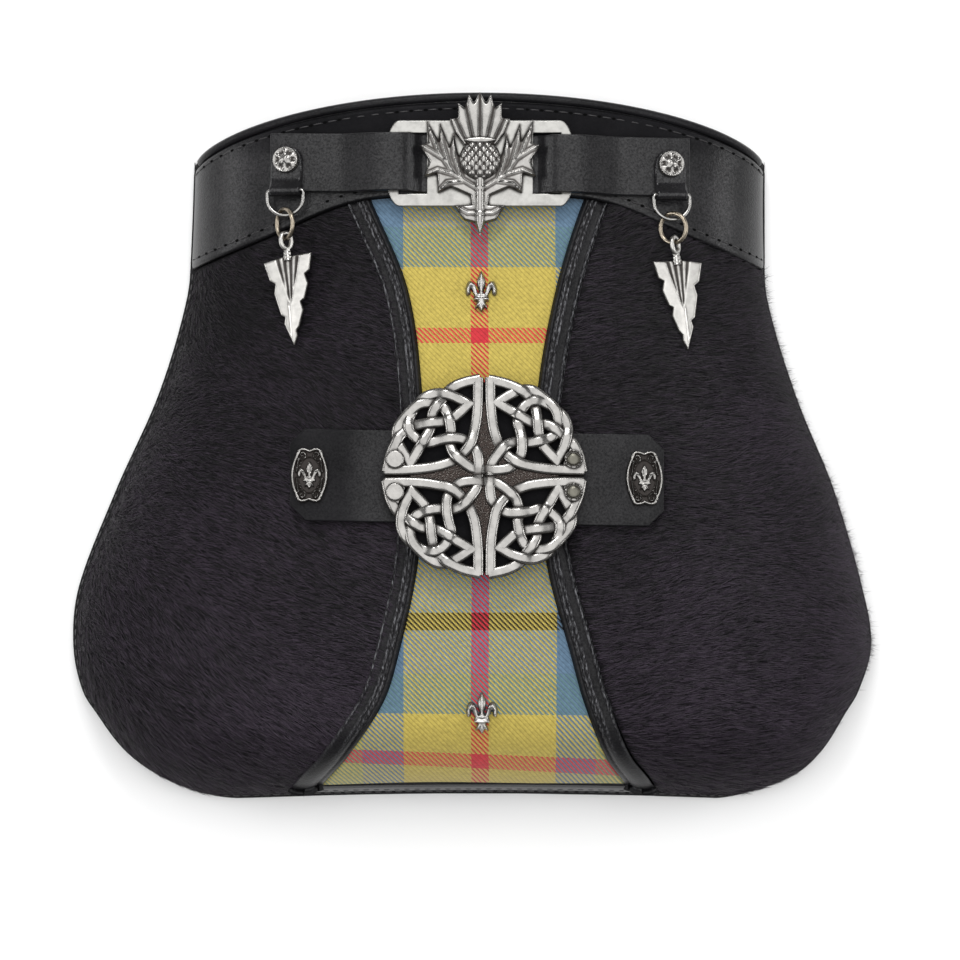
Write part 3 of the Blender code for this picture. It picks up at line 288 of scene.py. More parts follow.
# Veins of a leaf, each from the stem's side to a tip
THISTLE_VEINS = (
    ((0.05, 0.33), (0.40, 0.42), (0.68, 0.58), (0.87, 0.79)),
    ((0.30, 0.40), (0.43, 0.56), (0.44, 0.70)),
    ((0.50, 0.47), (0.62, 0.64), (0.66, 0.77)),
    ((0.62, 0.54), (0.80, 0.59), (0.98, 0.63)),
    ((0.46, 0.43), (0.70, 0.46), (0.91, 0.42)),
    ((0.30, 0.38), (0.54, 0.37), (0.68, 0.31)),
    ((0.02, 0.16), (0.20, 0.16), (0.40, 0.205)),
)
LILY = (
    # out, up
    (0.00, 1.00), (0.24, 0.80), (0.26, 0.66), (0.13, 0.50), (0.22, 0.45), (0.45, 0.70),
    (0.80, 0.74), (1.00, 0.55), (0.90, 0.40), (0.70, 0.44), (0.66, 0.56), (0.42, 0.40),
    (0.50, 0.33), (0.50, 0.27), (0.26, 0.26), (0.40, 0.08), (0.22, 0.12), (0.00, 0.00),
)
LILY_CORNERS = (3, 11, 12, 13, 14, 16)
LILY_RIDGES = (
    ((0.0, 0.96), (0.0, 0.40)),
    ((0.14, 0.42), (0.38, 0.62), (0.66, 0.68), (0.84, 0.58), (0.84, 0.48)),
    ((0.08, 0.24), (0.26, 0.14), (0.34, 0.09)),
    ((0.0, 0.24), (0.0, 0.04)),
)
FLEURS = (
    # label, right of the middle as a share of FLEUR_WIDTH, height as a share of SIDE_HEIGHT
    ("upper", 0.04, 0.791),
    ("lower", 0.06, 0.142),
)
BLADE_RIGHT = (
    # out, down
    (0.16, 0.02), (1.00, 0.00), (0.86, 0.19), (0.66, 0.23), (0.76, 0.33), (0.56, 0.50),
    (0.40, 0.53), (0.48, 0.62), (0.26, 0.80), (0.14, 0.84), (0.16, 0.90), (0.00, 1.00),
)
BLADE_LEFT = (
    # out, down
    (0.16, 0.02), (1.00, 0.07), (0.80, 0.27), (0.58, 0.31), (0.66, 0.42), (0.44, 0.66),
    (0.28, 0.69), (0.34, 0.76),
)
DROPS = (
    # label, side, bar out as a share of BELT_LENGTH, bar below the belt as a share of BELT_WIDTH,
    # and to the right of the bar as shares of BLADE_WIDTH: the jump ring and the tip
    ("left", -1, 0.4584, 0.456, -0.012, 0.123),
    ("right", 1, 0.4511, 0.528, 0.031, 0.380),
)


# The pouch's surface


def curve_through(rows, at, column):
    """Smooth values of one column of a table at places in its first column."""
    places = np.array([row[0] for row in rows])
    values = np.array([row[column] for row in rows])
    at = np.clip(np.asarray(at, float), places[0], places[-1])
    k = np.clip(np.searchsorted(places, at, side="left") - 1, 0, len(places) - 2)
    low = np.maximum(np.arange(len(places)) - 1, 0)
    high = np.minimum(np.arange(len(places)) + 1, len(places) - 1)
    slopes = (values[high] - values[low]) / (places[high] - places[low])
    step = places[k + 1] - places[k]
    t = (at - places[k]) / step
    start = values[k] * (1 + 2 * t) * (1 - t) ** 2 + slopes[k] * step * t * (1 - t) ** 2
    end = values[k + 1] * (3 - 2 * t) * t ** 2 - slopes[k + 1] * step * t ** 2 * (1 - t)
    return start + end


ROOT_SIDES = tuple((math.sqrt(row[0]), row[1], row[2]) for row in SIDES)


def smooth_step(t):
    t = np.clip(t, 0.0, 1.0)
    return t * t * (3 - 2 * t)


def side_column(rows, at, side):
    """A table's left or right column, by the sign of side."""
    side = np.broadcast_to(side, np.shape(at))
    return np.where(side < 0, curve_through(rows, at, 1), curve_through(rows, at, 2))


def half_width(y, side):
    share = np.clip((y - BAG_FOOT) / SIDE_HEIGHT, 0.0, 1.0)
    return side_column(ROOT_SIDES, np.sqrt(share), side) * BAG_WIDTH / 2


def front_half(y, side):
    return half_width(y, side) - FRONT_INSET


def tartan_edge(y, side):
    return side_column(HOURGLASS, (y - BAG_FOOT) / SIDE_HEIGHT, side) * TARTAN_HALF


def border_edge(y, side):
    """Outer edge of the leather border, which keeps its width square to its run."""
    reach = 3 * MM
    lean = (tartan_edge(y + reach, side) - tartan_edge(y - reach, side)) / (2 * reach)
    return tartan_edge(y, side) + BORDER_WIDTH * np.sqrt(1 + lean * lean)


def bottom_edge(x):
    return BAG_FOOT + BOTTOM_ARCH * np.maximum(0.0, 1 - (x / (BAG_WIDTH * 0.3)) ** 2)


def rim_edge(out):
    return BAG_FOOT + SIDE_HEIGHT + RIM_RISE * np.maximum(0.0, 1 - out * out) ** 0.68


def yoke_edge(out):
    return BAG_FOOT + SIDE_HEIGHT * curve_through(YOKE_EDGE, out, 1)


def at_shares(outs, y):
    """Places across the front from signed shares of its half width."""
    return outs * front_half(y, np.where(outs < 0, -1, 1))


def front_height(x, y):
    """Height of the front's outer face above the surface that the back lies on."""
    x = np.asarray(x, float)
    y = np.asarray(y, float)
    share = (y - bottom_edge(x) - FRONT_INSET) / (SIDE_HEIGHT - FRONT_INSET)
    full = curve_through(FULLNESS, share, 1) * BAG_DEPTH
    out = np.minimum(np.abs(x) / front_half(y, np.where(x < 0, -1, 1)), 1.0)
    rounding = np.sqrt(np.maximum(0.0, 1 - out ** SIDE_ROUND))
    toe = 1 - (1 - np.clip(share, 0.0, TOE_HEIGHT) / TOE_HEIGHT) ** TOE_ROUND
    return FRONT_FOOT + full * rounding * np.sqrt(np.maximum(0.0, toe))


def front_normal(x, y, reach=0.4 * MM):
    """Outward direction of the front."""
    across = front_height(x + reach, y) - front_height(x - reach, y)
    along = front_height(x, y + reach) - front_height(x, y - reach)
    normal = np.stack([-across, -along, np.full(np.shape(across), 2 * reach)], -1)
    return normal / np.linalg.norm(normal, axis=-1, keepdims=True)


def on_front(x, y, lift=0.0, reach=0.4 * MM):
    """Points above the front, measured square to it."""
    x, y, lift = np.broadcast_arrays(np.asarray(x, float), np.asarray(y, float), np.asarray(lift, float))
    flat = np.stack([x, y, front_height(x, y)], -1)
    return flat + front_normal(x, y, reach) * lift[..., None]


def seat(x, y, lift=0.0):
    """Frame on the front: Z out of it, Y towards the mouth."""
    x = np.array([x])
    y = np.array([y])
    normal = Vector(front_normal(x, y, 1.0 * MM)[0])
    up = (Vector((0, 1, 0)) - normal * normal.y).normalized()
    right = up.cross(normal)
    turn = Matrix((right, up, normal)).transposed().to_4x4()
    return Matrix.Translation(Vector(on_front(x, y, lift, 1.0 * MM)[0])) @ turn


def aimed(origin, down, out, turn=0.0):
    """Frame at a point: Y against the way down, Z as near to out as it goes."""
    up = -down.normalized()
    normal = (out - up * out.dot(up)).normalized()
    right = up.cross(normal)
    basis = Matrix((right, up, normal)).transposed().to_4x4()
    return Matrix.Translation(origin) @ basis @ Matrix.Rotation(turn, 4, "Y")


# Building blocks


def in_scene(name, data):
    obj = bpy.data.objects.new(name, data)
    bpy.context.scene.collection.objects.link(obj)
    return obj


def put(mesh, finish, stands_for=()):
    """Make a piece of the object from a mesh."""
    obj = in_scene(mesh.name, mesh)
    mesh.materials.clear()
    mesh.materials.append(finish)
    mesh.shade_smooth()
    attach(obj, "root")
    if stands_for:
        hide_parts(*stands_for)
    return obj


def mesh_of(name, points, faces):
    mesh = bpy.data.meshes.new(name)
    mesh.from_pydata([tuple(p) for p in np.asarray(points).reshape(-1, 3)], [], [tuple(f) for f in faces])
    mesh.update()
    return mesh


def grid_faces(rows, columns, closed=False):
    """Quads between the points of a grid, whose rows may close on themselves."""
    r = np.arange(rows - 1)[:, None]
    c = np.arange(columns if closed else columns - 1)[None, :]
    n = (c + 1) % columns
    above = (r + 1) * columns
    corners = np.broadcast_arrays(r * columns + c, r * columns + n, above + n, above + c)
    return np.stack(corners, -1).reshape(-1, 4)


def soften(obj, width, segments=3, angle=50):
    """Round the sharp edges."""
    bevel = obj.modifiers.new("edges", "BEVEL")
    bevel.width = width
    bevel.segments = segments
    bevel.limit_method = "ANGLE"
    bevel.angle_limit = math.radians(angle)


def sheet_grid(name, points, finish, stands_for, wall, outward=False, edge=0.0):
    """A grid of points as a wall of leather or cloth."""
    rows, columns = points.shape[:2]
    mesh = mesh_of(name, points, grid_faces(rows, columns))
    if sum(p.normal.z * p.area for p in mesh.polygons) < 0:
        mesh.flip_normals()
    obj = put(mesh, finish, stands_for)
    solid = obj.modifiers.new("wall", "SOLIDIFY")
    solid.thickness = wall
    solid.offset = 1.0 if outward else -1.0
    if edge:
        soften(obj, edge)
    return obj


def face_outwards(mesh, merge=False):
    """Turn every face outwards, after joining double points and flat faces where asked."""
    work = bmesh.new()
    work.from_mesh(mesh)
    if merge:
        bmesh.ops.remove_doubles(work, verts=work.verts, dist=0.002 * MM)
        bmesh.ops.dissolve_limit(work, angle_limit=0.01, verts=work.verts, edges=work.edges)
    bmesh.ops.recalc_face_normals(work, faces=work.faces)
    work.to_mesh(mesh)
    work.free()


def plate(name, outlines, thickness, finish, stands_for=(), place=None, base=0.0, edge=0.3 * MM):
    """Extruded outlines with softened edges, the first one outside and the others holes in it."""
    curve = bpy.data.curves.new(name + "_outline", "CURVE")
    curve.dimensions = "2D"
    curve.fill_mode = "BOTH"
    curve.extrude = thickness / 2
    for outline in outlines:
        spline = curve.splines.new("POLY")
        spline.points.add(len(outline) - 1)
        for point, (x, y) in zip(spline.points, outline):
            point.co = (x, y, 0.0, 1.0)
        spline.use_cyclic_u = True
    guide = in_scene(name + "_guide", curve)
    bpy.context.view_layer.update()
    graph = bpy.context.evaluated_depsgraph_get()
    mesh = bpy.data.meshes.new_from_object(guide.evaluated_get(graph))
    bpy.data.objects.remove(guide, do_unlink=True)
    while mesh.uv_layers:
        mesh.uv_layers.remove(mesh.uv_layers[0])
    mesh.name = name
    face_outwards(mesh, True)
    mesh.transform((place or Matrix()) @ Matrix.Translation((0, 0, base + thickness / 2)))
    obj = put(mesh, finish, stands_for)
    if edge:
        soften(obj, edge, angle=40)
    mesh.set_sharp_from_angle(angle=math.radians(50))
    return obj


def smooth_path(points, step, corners=()):
    """Points along a Catmull-Rom curve, which turns sharply at the corners that are named."""
    points = [np.array(p, float) for p in points]
    made = []
    last = len(points) - 1
    for k in range(last):
        b, c = points[k], points[k + 1]
        a = points[k - 1] if k and k not in corners else b * 2 - c
        d = points[k + 2] if k + 2 <= last and k + 1 not in corners else c * 2 - b
        pieces = max(1, int(round(np.linalg.norm((c - b)[:2]) / step)))
        for j in range(pieces):
            t = j / pieces
            cubic = (3 * b - a - 3 * c + d) * t ** 3
            made.append(0.5 * (2 * b + (c - a) * t + (2 * a - 5 * b + 4 * c - d) * t * t + cubic))
    made.append(points[-1])
    return np.array(made)


def run_length(line):
    """Distance along a line up to each of its points."""
    return np.concatenate([[0], np.cumsum(np.linalg.norm(np.diff(line, axis=0), axis=1))])


def at_lengths(places, along, line):
    """Points of a line at some distances along it."""
    return np.stack([np.interp(places, along, line[:, axis]) for axis in range(3)], -1)


def sweep(path, ups, section, closed=False, scale=None):
    """Carry a closed section of (across, up) pairs along a path. Returns points and faces."""
    path = np.asarray(path, float)
    ups = np.broadcast_to(np.asarray(ups, float), path.shape)
    run = np.roll(path, -1, 0) - np.roll(path, 1, 0) if closed else np.gradient(path, axis=0)
    run = run / np.maximum(np.linalg.norm(run, axis=1, keepdims=True), 1e-12)
    side = np.cross(run, ups)
    side /= np.maximum(np.linalg.norm(side, axis=1, keepdims=True), 1e-12)
    rise = np.cross(side, run)
    section = np.asarray(section, float)
    size = np.ones(len(path)) if scale is None else np.asarray(scale, float)
    rings = path[:, None, :] + side[:, None, :] * (section[None, :, :1] * size[:, None, None])
    rings = rings + rise[:, None, :] * (section[None, :, 1:] * size[:, None, None])
    return rings.reshape(-1, 3), ring_faces(*rings.shape[:2], closed)


def ring_faces(rows, columns, closed=False):
    """Faces of a tube of rings, joined end to end or capped."""
    faces = [tuple(f) for f in grid_faces(rows, columns, True)]
    last = (rows - 1) * columns
    if closed:
        faces += [(last + c, last + (c + 1) % columns, (c + 1) % columns, c) for c in range(columns)]
    else:
        faces.append(tuple(range(columns))[::-1])
        faces.append(tuple(range(last, rows * columns)))
    return faces


class Heap:
    """Collects many small shapes into one mesh."""

    def __init__(self):
        self.points = []
        self.faces = []
        self.values = []
        self.count = 0

    def add(self, points, faces, place=None, values=0.0):
        points = np.asarray(points, float).reshape(-1, 3)
        if place is not None:
            turn = np.array(place)
            points = points @ turn[:3, :3].T + turn[:3, 3]
        self.faces += [tuple(int(i) + self.count for i in face) for face in faces]
        self.points.append(points)
        self.values.append(np.zeros(len(points)) + values)
        self.count += len(points)

    def mesh(self, name):
        mesh = mesh_of(name, np.concatenate(self.points), self.faces)
        face_outwards(mesh)
        return mesh


def ellipse(half_wide, half_high, count):
    """Points round an ellipse."""
    angles = 2 * math.pi * np.arange(count) / count
    return [(half_wide * math.cos(a), half_high * math.sin(a)) for a in angles]


def circle(radius, count):
    return ellipse(radius, radius, count)


def mirrored(half):
    """Close a right half outline, listed from the top down, with its mirror image."""
    half = [tuple(p) for p in half]
    return half + [(-x, y) for x, y in reversed(half) if abs(x) > 1e-9]


def scaled(table, wide, high):
    return [(x * wide, y * high) for x, y in table]


# Materials


class Nodes:
    """Short hand for a material's node tree."""

    def __init__(self, name):
        self.material = bpy.data.materials.new(name)
        self.material.use_nodes = True
        self.tree = self.material.node_tree
        self.shader = self.tree.nodes["Principled BSDF"]
        self.place = self.add("ShaderNodeTexCoord").outputs["Object"]

    def add(self, kind, **values):
        node = self.tree.nodes.new(kind)
        for key, value in values.items():
            setattr(node, key, value)
        return node

    def feed(self, node, name, value):
        socket = node.inputs[name]
        if isinstance(value, bpy.types.NodeSocket):
            self.tree.links.new(value, socket)
        else:
            socket.default_value = value

    def set(self, **values):
        for key, value in values.items():
            self.feed(self.shader, key.replace("_", " "), value)
        return self

    def noise(self, scale, detail=3.0, rough=0.5, vector=None):
        node = self.add("ShaderNodeTexNoise")
        values = (vector or self.place, scale, detail, rough)
        for socket, value in zip(("Vector", "Scale", "Detail", "Roughness"), values):
            self.feed(node, socket, value)
        return node.outputs["Fac"]

    def cells(self, scale):
        node = self.add("ShaderNodeTexVoronoi")
        self.feed(node, "Vector", self.place)
        self.feed(node, "Scale", scale)
        return node.outputs["Distance"]

    def attribute(self, name):
        return self.add("ShaderNodeAttribute", attribute_name=name).outputs["Fac"]

    def math(self, operation, a, b=0.0, c=None):
        node = self.add("ShaderNodeMath", operation=operation)
        for index, value in enumerate((a, b, c)):
            if value is not None:
                self.feed(node, index, value)
        return node.outputs[0]

    def times(self, a, b):
        return self.math("MULTIPLY", a, b)

    def plus(self, a, b):
        return self.math("ADD", a, b)

    def minus(self, a, b):
        return self.math("SUBTRACT", a, b)

    def line(self, value, slope, start):
        return self.math("MULTIPLY_ADD", value, slope, start)

    def darken(self, a, b):
        return self.mix(1.0, a, b, "MULTIPLY")

    def ramp(self, value, *stops, constant=False):
        node = self.add("ShaderNodeValToRGB")
        self.feed(node, "Fac", value)
        band = node.color_ramp
        band.interpolation = "CONSTANT" if constant else "LINEAR"
        while len(band.elements) < len(stops):
            band.elements.new(1.0)
        for element, (place, colour) in zip(band.elements, stops):
            element.position = place
            colour = (colour,) * 3 if isinstance(colour, (int, float)) else colour
            element.color = (*colour, 1.0)
        return node.outputs["Color"]

    def mix(self, share, a, b, blend="MIX"):
        node = self.add("ShaderNodeMix", data_type="RGBA", blend_type=blend)
        self.feed(node, 0, share)
        for index, value in ((6, a), (7, b)):
            self.feed(node, index, value if isinstance(value, bpy.types.NodeSocket) else (*value, 1.0))
        return node.outputs[2]

    def bump(self, height, strength, distance):
        node = self.add("ShaderNodeBump")
        self.feed(node, "Height", height)
        self.feed(node, "Strength", strength)
        self.feed(node, "Distance", distance)
        return node.outputs["Normal"]


def leather(name, rough=(0.34, 0.46), grain=0.14 * MM, specular=0.33, worn_glint=(0.15, 0.15, 0.16)):
    """Black dyed leather: fine pebble grain, faint creases, uneven polish, and where marked, wear with
    painted glints and painted shade.
    """
    n = Nodes(name)
    patches = n.noise(40.0, 4.0, 0.6)
    pebble = n.cells(1700.0)
    wrinkle = n.noise(480.0, 5.0, 0.65)
    black = n.mix(n.ramp(patches, (0.3, 0.0), (0.75, 1.0)), (0.0045, 0.0045, 0.005), (0.011, 0.0105, 0.012))
    run = n.add("ShaderNodeMapping")
    n.feed(run, "Vector", n.place)
    n.feed(run, "Scale", (1.0, 0.28, 1.0))
    streaks = n.noise(1700.0, 3.0, 0.7, run.outputs["Vector"])
    # Light grey streaks where marked: partly wear, partly painted glints
    wear_and_glint = n.times(n.ramp(streaks, (0.47, 0.0), (0.64, 1.0)), n.attribute("wear_and_glint"))
    n.set(Base_Color=n.mix(wear_and_glint, black, worn_glint))
    n.set(Roughness=n.line(patches, rough[1] - rough[0], rough[0]))
    # Painted shade: where marked, the reflection's tint is dimmed
    painted_shade = n.ramp(n.attribute("painted_shade"), (0.0, 1.0), (1.0, 0.06))
    speckle = n.ramp(n.noise(1300.0, 3.0, 0.75), (0.36, 0.35), (0.62, 1.0))
    uneven = n.ramp(patches, (0.3, 0.75), (0.7, 1.0))
    n.set(Specular_Tint=n.darken(n.darken(painted_shade, speckle), uneven))
    height = n.line(pebble, 0.7, n.times(wrinkle, 0.6))
    n.set(Normal=n.bump(height, 0.55, grain), Specular_IOR_Level=specular)
    return n.material


def antique_silver(name, bright=CAST_BRIGHT, tarnish_and_shade=CAST_TARNISH_AND_SHADE, rough=0.25, depth=1.1 * MM):
    """Cast silver, polished on its high places, dark with tarnish in its recesses and with painted shade
    where marked.
    """
    n = Nodes(name)
    hollow = n.add("ShaderNodeAmbientOcclusion", samples=8)
    n.feed(hollow, "Distance", depth)
    blotch = n.noise(300.0, 5.0, 0.65)
    fine = n.noise(1600.0, 3.0, 0.6)
    open_share = n.plus(hollow.outputs["AO"], n.line(blotch, 0.3, -0.15))
    # The recess mark darkens towards the tarnish colour: tarnish in hollows, painted shade on the knot
    open_share = n.minus(open_share, n.times(n.attribute("recess"), 0.62))
    polish = n.ramp(open_share, (0.32, 0.0), (0.60, 0.36), (0.90, 1.0))
    stained = n.ramp(blotch, (0.33, tuple(c * 0.72 for c in bright)), (0.62, bright))
    n.set(Base_Color=n.mix(polish, tarnish_and_shade, stained), Metallic=n.ramp(open_share, (0.25, 0.5), (0.5, 1.0)))
    dulled = n.times(n.minus(1.0, polish), 0.30)
    n.set(Roughness=n.plus(dulled, n.line(blotch, 0.16, rough - 0.08)))
    pits = n.line(fine, 0.35, n.times(blotch, 0.8))
    n.set(Normal=n.bump(pits, 0.30, 0.06 * MM))
    return n.material


def tartan_cloth():
    """Twill wool in a tartan of yellow, grey, blue, red and black."""
    n = Nodes("tartan_cloth")
    parts = n.add("ShaderNodeSeparateXYZ")
    n.feed(parts, "Vector", n.place)
    across, along = parts.outputs["X"], parts.outputs["Y"]
    across = n.plus(across, n.line(n.noise(14.0, 2.0), 1.4 * MM, -0.7 * MM))
    below = n.math("MAXIMUM", n.minus(-0.072, along), 0.0)
    along = n.plus(along, n.times(n.times(across, below), 2.2))

    def stripes(value, low, bands):
        """A run of coloured bands, each named by where it ends."""
        span = bands[-1][0] - low
        stops = []
        start = low
        for end, colour in bands:
            stops.append(((start - low) / span, TARTAN_COLOURS[colour]))
            start = end
        return n.ramp(n.math("DIVIDE", n.minus(value, low), span), *stops, constant=True)

    warp = stripes(across, WARP_START, WARP_BANDS)
    weft = stripes(along, WEFT_START, WEFT_BANDS)
    warp_count = n.math("FLOOR", n.math("DIVIDE", across, TWILL_PITCH))
    weft_count = n.math("FLOOR", n.math("DIVIDE", along, TWILL_PITCH))
    fluff = n.noise(900.0, 4.0, 0.7)
    count = n.plus(n.plus(warp_count, weft_count), n.times(fluff, 0.9))
    turn = n.math("FLOORED_MODULO", count, 4.0)
    over = n.ramp(n.math("DIVIDE", turn, 4.0), (0.0, 0.96), (0.42, 0.96), (0.52, 0.04), (0.97, 0.04))
    colour = n.mix(over, warp, weft)
    colour = n.darken(colour, n.ramp(fluff, (0.25, 0.70), (0.7, 1.12)))
    diagonal = n.times(n.plus(across, along), math.pi / (4 * TWILL_PITCH))
    ridges = n.math("ABSOLUTE", n.math("SINE", diagonal))
    threads = n.math("ABSOLUTE", n.math("SINE", n.times(across, math.pi / TWILL_PITCH)))
    height = n.line(threads, 0.25, n.times(fluff, 0.5))
    height = n.plus(n.times(ridges, 0.8), height)
    # Painted shade in the grooves between the twill's diagonal ridges
    colour = n.mix(0.60, colour, n.ramp(ridges, (0.0, 0.35), (0.50, 1.0)), "MULTIPLY")
    n.set(Base_Color=colour, Roughness=0.85, Normal=n.bump(height, 0.75, 0.15 * MM))
    n.set(Sheen_Weight=0.15, Sheen_Roughness=0.5, Specular_IOR_Level=0.2)
    return n.material


def hair():
    """Short glossy hair, near black with a cool violet cast and painted sheen."""
    n = Nodes("fur_hair")
    tone = n.attribute("tone")
    patches = n.noise(24.0, 4.0, 0.65)
    parts = n.add("ShaderNodeSeparateXYZ")
    n.feed(parts, "Vector", n.place)
    # Painted sheen: noise patches lighten the hair to violet grey, less towards the top of the pouch
    share = n.line(patches, 1.3, n.line(tone, 1.25, -0.92))
    share = n.plus(share, n.times(parts.outputs["Y"], -3.4))
    n.set(Base_Color=n.ramp(share, (0.05, (0.0012, 0.0010, 0.0014)), (1.0, (0.036, 0.026, 0.040))))
    n.set(Roughness=n.line(tone, 0.18, 0.44), Specular_IOR_Level=0.22)
    return n.material


def hide():
    """The skin under the hair."""
    n = Nodes("fur_hide")
    strands = n.noise(900.0, 4.0, 0.7)
    n.set(Base_Color=n.ramp(strands, (0.3, (0.002, 0.002, 0.0024)), (0.75, (0.009, 0.0075, 0.010))))
    n.set(Roughness=0.8, Normal=n.bump(strands, 0.8, 0.3 * MM), Specular_IOR_Level=0.15)
    return n.material


def thread(name, colour):
    """Waxed sewing thread."""
    n = Nodes(name)
    twist = n.noise(3000.0, 2.0)
    dim = tuple(c * 0.6 for c in colour)
    lit = tuple(c * 1.6 for c in colour)
    n.set(Base_Color=n.ramp(twist, (0.3, dim), (0.7, lit)))
    n.set(Roughness=0.42, Normal=n.bump(twist, 0.5, 0.05 * MM), Specular_IOR_Level=0.4)
    return n.material


def needle_hole_shade():
    """Painted shade for the dark inside of a needle hole, laid on as a flat disc."""
    n = Nodes("needle_hole_shade")
    n.set(Base_Color=n.ramp(n.noise(2000.0), (0.3, 0.0008), (0.7, 0.002)), Roughness=0.9)
    n.set(Specular_IOR_Level=0.05)
    return n.material


def stippled_ground():
    """Brown-grey metal, punched all over with small dots."""
    n = Nodes("stippled_ground")
    dots = n.cells(1500.0)
    n.set(Base_Color=n.ramp(dots, (0.15, (0.20, 0.175, 0.16)), (0.55, (0.030, 0.022, 0.019))), Metallic=0.8)
    n.set(Roughness=0.45, Normal=n.bump(n.ramp(dots, (0.1, 1.0), (0.6, 0.0)), 1.0, 0.3 * MM))
    return n.material


LEATHER = leather("leather_satin")
GLOSS = leather("leather_polished", rough=(0.30, 0.40), specular=0.44)
BORDER = leather("leather_border", rough=(0.32, 0.46), grain=0.16 * MM, specular=0.22)
TAB = leather("leather_tab", rough=(0.20, 0.28), grain=0.04 * MM, specular=0.5)
SILVER = antique_silver("silver_antique")
PLATE_SILVER = antique_silver("silver_flat", bright=(0.33, 0.325, 0.31), rough=0.34)
WARM = antique_silver("silver_warm", bright=(0.30, 0.26, 0.205), tarnish_and_shade=(0.06, 0.04, 0.022), rough=0.28)
WORN = antique_silver("silver_worn", bright=(0.13, 0.125, 0.105), tarnish_and_shade=(0.04, 0.035, 0.022), rough=0.34)
SMOOTH = antique_silver("silver_smooth", bright=(0.30, 0.295, 0.285), rough=0.20, depth=0.5 * MM)
BLADE = antique_silver("silver_blade", bright=(0.46, 0.45, 0.43), rough=0.32, depth=0.8 * MM)
GROUND = stippled_ground()
TARTAN = tartan_cloth()
HAIR = hair()
HIDE = hide()
THREAD = thread("thread_black", (0.016, 0.015, 0.016))
# Lighter thread for the seams' stitches: its grey is a painted glint
GLINT = thread("thread_glint", (0.06, 0.058, 0.06))
HOLE_SHADE = needle_hole_shade()


def mark(mesh, name, values):
    """Give every point of a mesh a value that its material reads."""
    layer = mesh.attributes.new(name, "FLOAT", "POINT")
    layer.data.foreach_set("value", np.asarray(values, np.float32).ravel())


# The front


def panel(first, last, count, shares, inner, outer, side):
    """Points (x, y) of a panel from share first to share last of the way from the foot to the yoke."""
    shares = np.asarray(shares, float)[None, :]
    ts = np.linspace(first, last, count)[:, None]

    def column_x(y):
        return inner(y, side) + (outer(y, side) - inner(y, side)) * shares

    top = np.full(shares.shape, float(yoke_edge(0.5)))
    for _ in range(12):
        top = yoke_edge(column_x(top) / front_half(top, side))
    y = np.broadcast_to(top, (len(ts), shares.shape[1])).copy()
    x = column_x(y)
    for _ in range(14):
        foot = bottom_edge(x) + FRONT_INSET
        y = foot + (top - GAP / 2 - foot) * ts ** ROW_CROWDING
        x = column_x(y)
    return side * x, y


def foot_share():
    """Share of the rows that the foot band takes."""
    rows = 1
    while SIDE_HEIGHT * (rows / FRONT_ROWS) ** ROW_CROWDING < FOOT_BAND_HEIGHT:
        rows += 1
    return rows / FRONT_ROWS


FOOT_SHARE = foot_share()


def moved(edge, step):
    """An edge of the front, moved outwards by a step."""
    return lambda y, side: edge(y, side) + step


fur_inner = moved(border_edge, GAP / 2)
cloth_edge = moved(tartan_edge, -GAP / 2)
strip_inner = moved(tartan_edge, GAP / 2)
strip_outer = moved(border_edge, -GAP / 2)


def middle(y, _):
    return np.zeros(np.shape(y))


def crowded(count):
    return np.sin(np.pi / 2 * np.arange(count + 1) / count)


def make_fur(name, side):
    """A lobe of hide, combed with short hair."""
    x, y = panel(0.0, 1.0, 64, crowded(44), fur_inner, front_half, side)
    points = on_front(x, y)
    points[..., 2] = np.maximum(points[..., 2], FRONT_FOOT)
    sheet_grid("hide_" + name, points, HIDE, ("fur_" + name,), PANEL_THICKNESS)
    comb(name, side, points)


def comb(name, side, skin):
    """Lay short hair over a lobe, in two pieces, tips towards the right as the hide was brushed."""
    rng = np.random.default_rng(11 if side < 0 else 12)
    a, b, c, d = skin[:-1, :-1], skin[:-1, 1:], skin[1:, 1:], skin[1:, :-1]
    normal = np.cross(c - a, d - b)
    area = np.linalg.norm(normal, axis=-1)
    normal /= np.maximum(area, 1e-12)[..., None]
    if normal[..., 2].sum() < 0:
        normal = -normal
    columns = area.shape[1]
    half_way = int(np.searchsorted(np.cumsum(area.sum(1)) / area.sum(), 0.5))
    for part, (low, high) in enumerate(((0, half_way), (half_way, area.shape[0]))):
        weights = area[low:high].ravel()
        cells = rng.choice(weights.size, size=HAIRS_A_PIECE, p=weights / weights.sum())
        i, j = low + cells // columns, cells % columns
        s, t = rng.random(HAIRS_A_PIECE)[:, None], rng.random(HAIRS_A_PIECE)[:, None]
        root = (a[i, j] * (1 - s) + b[i, j] * s) * (1 - t) + (d[i, j] * (1 - s) + c[i, j] * s) * t
        lay_hair(f"fur_{name}_{part + 1}", side, root, normal[i, j], rng)


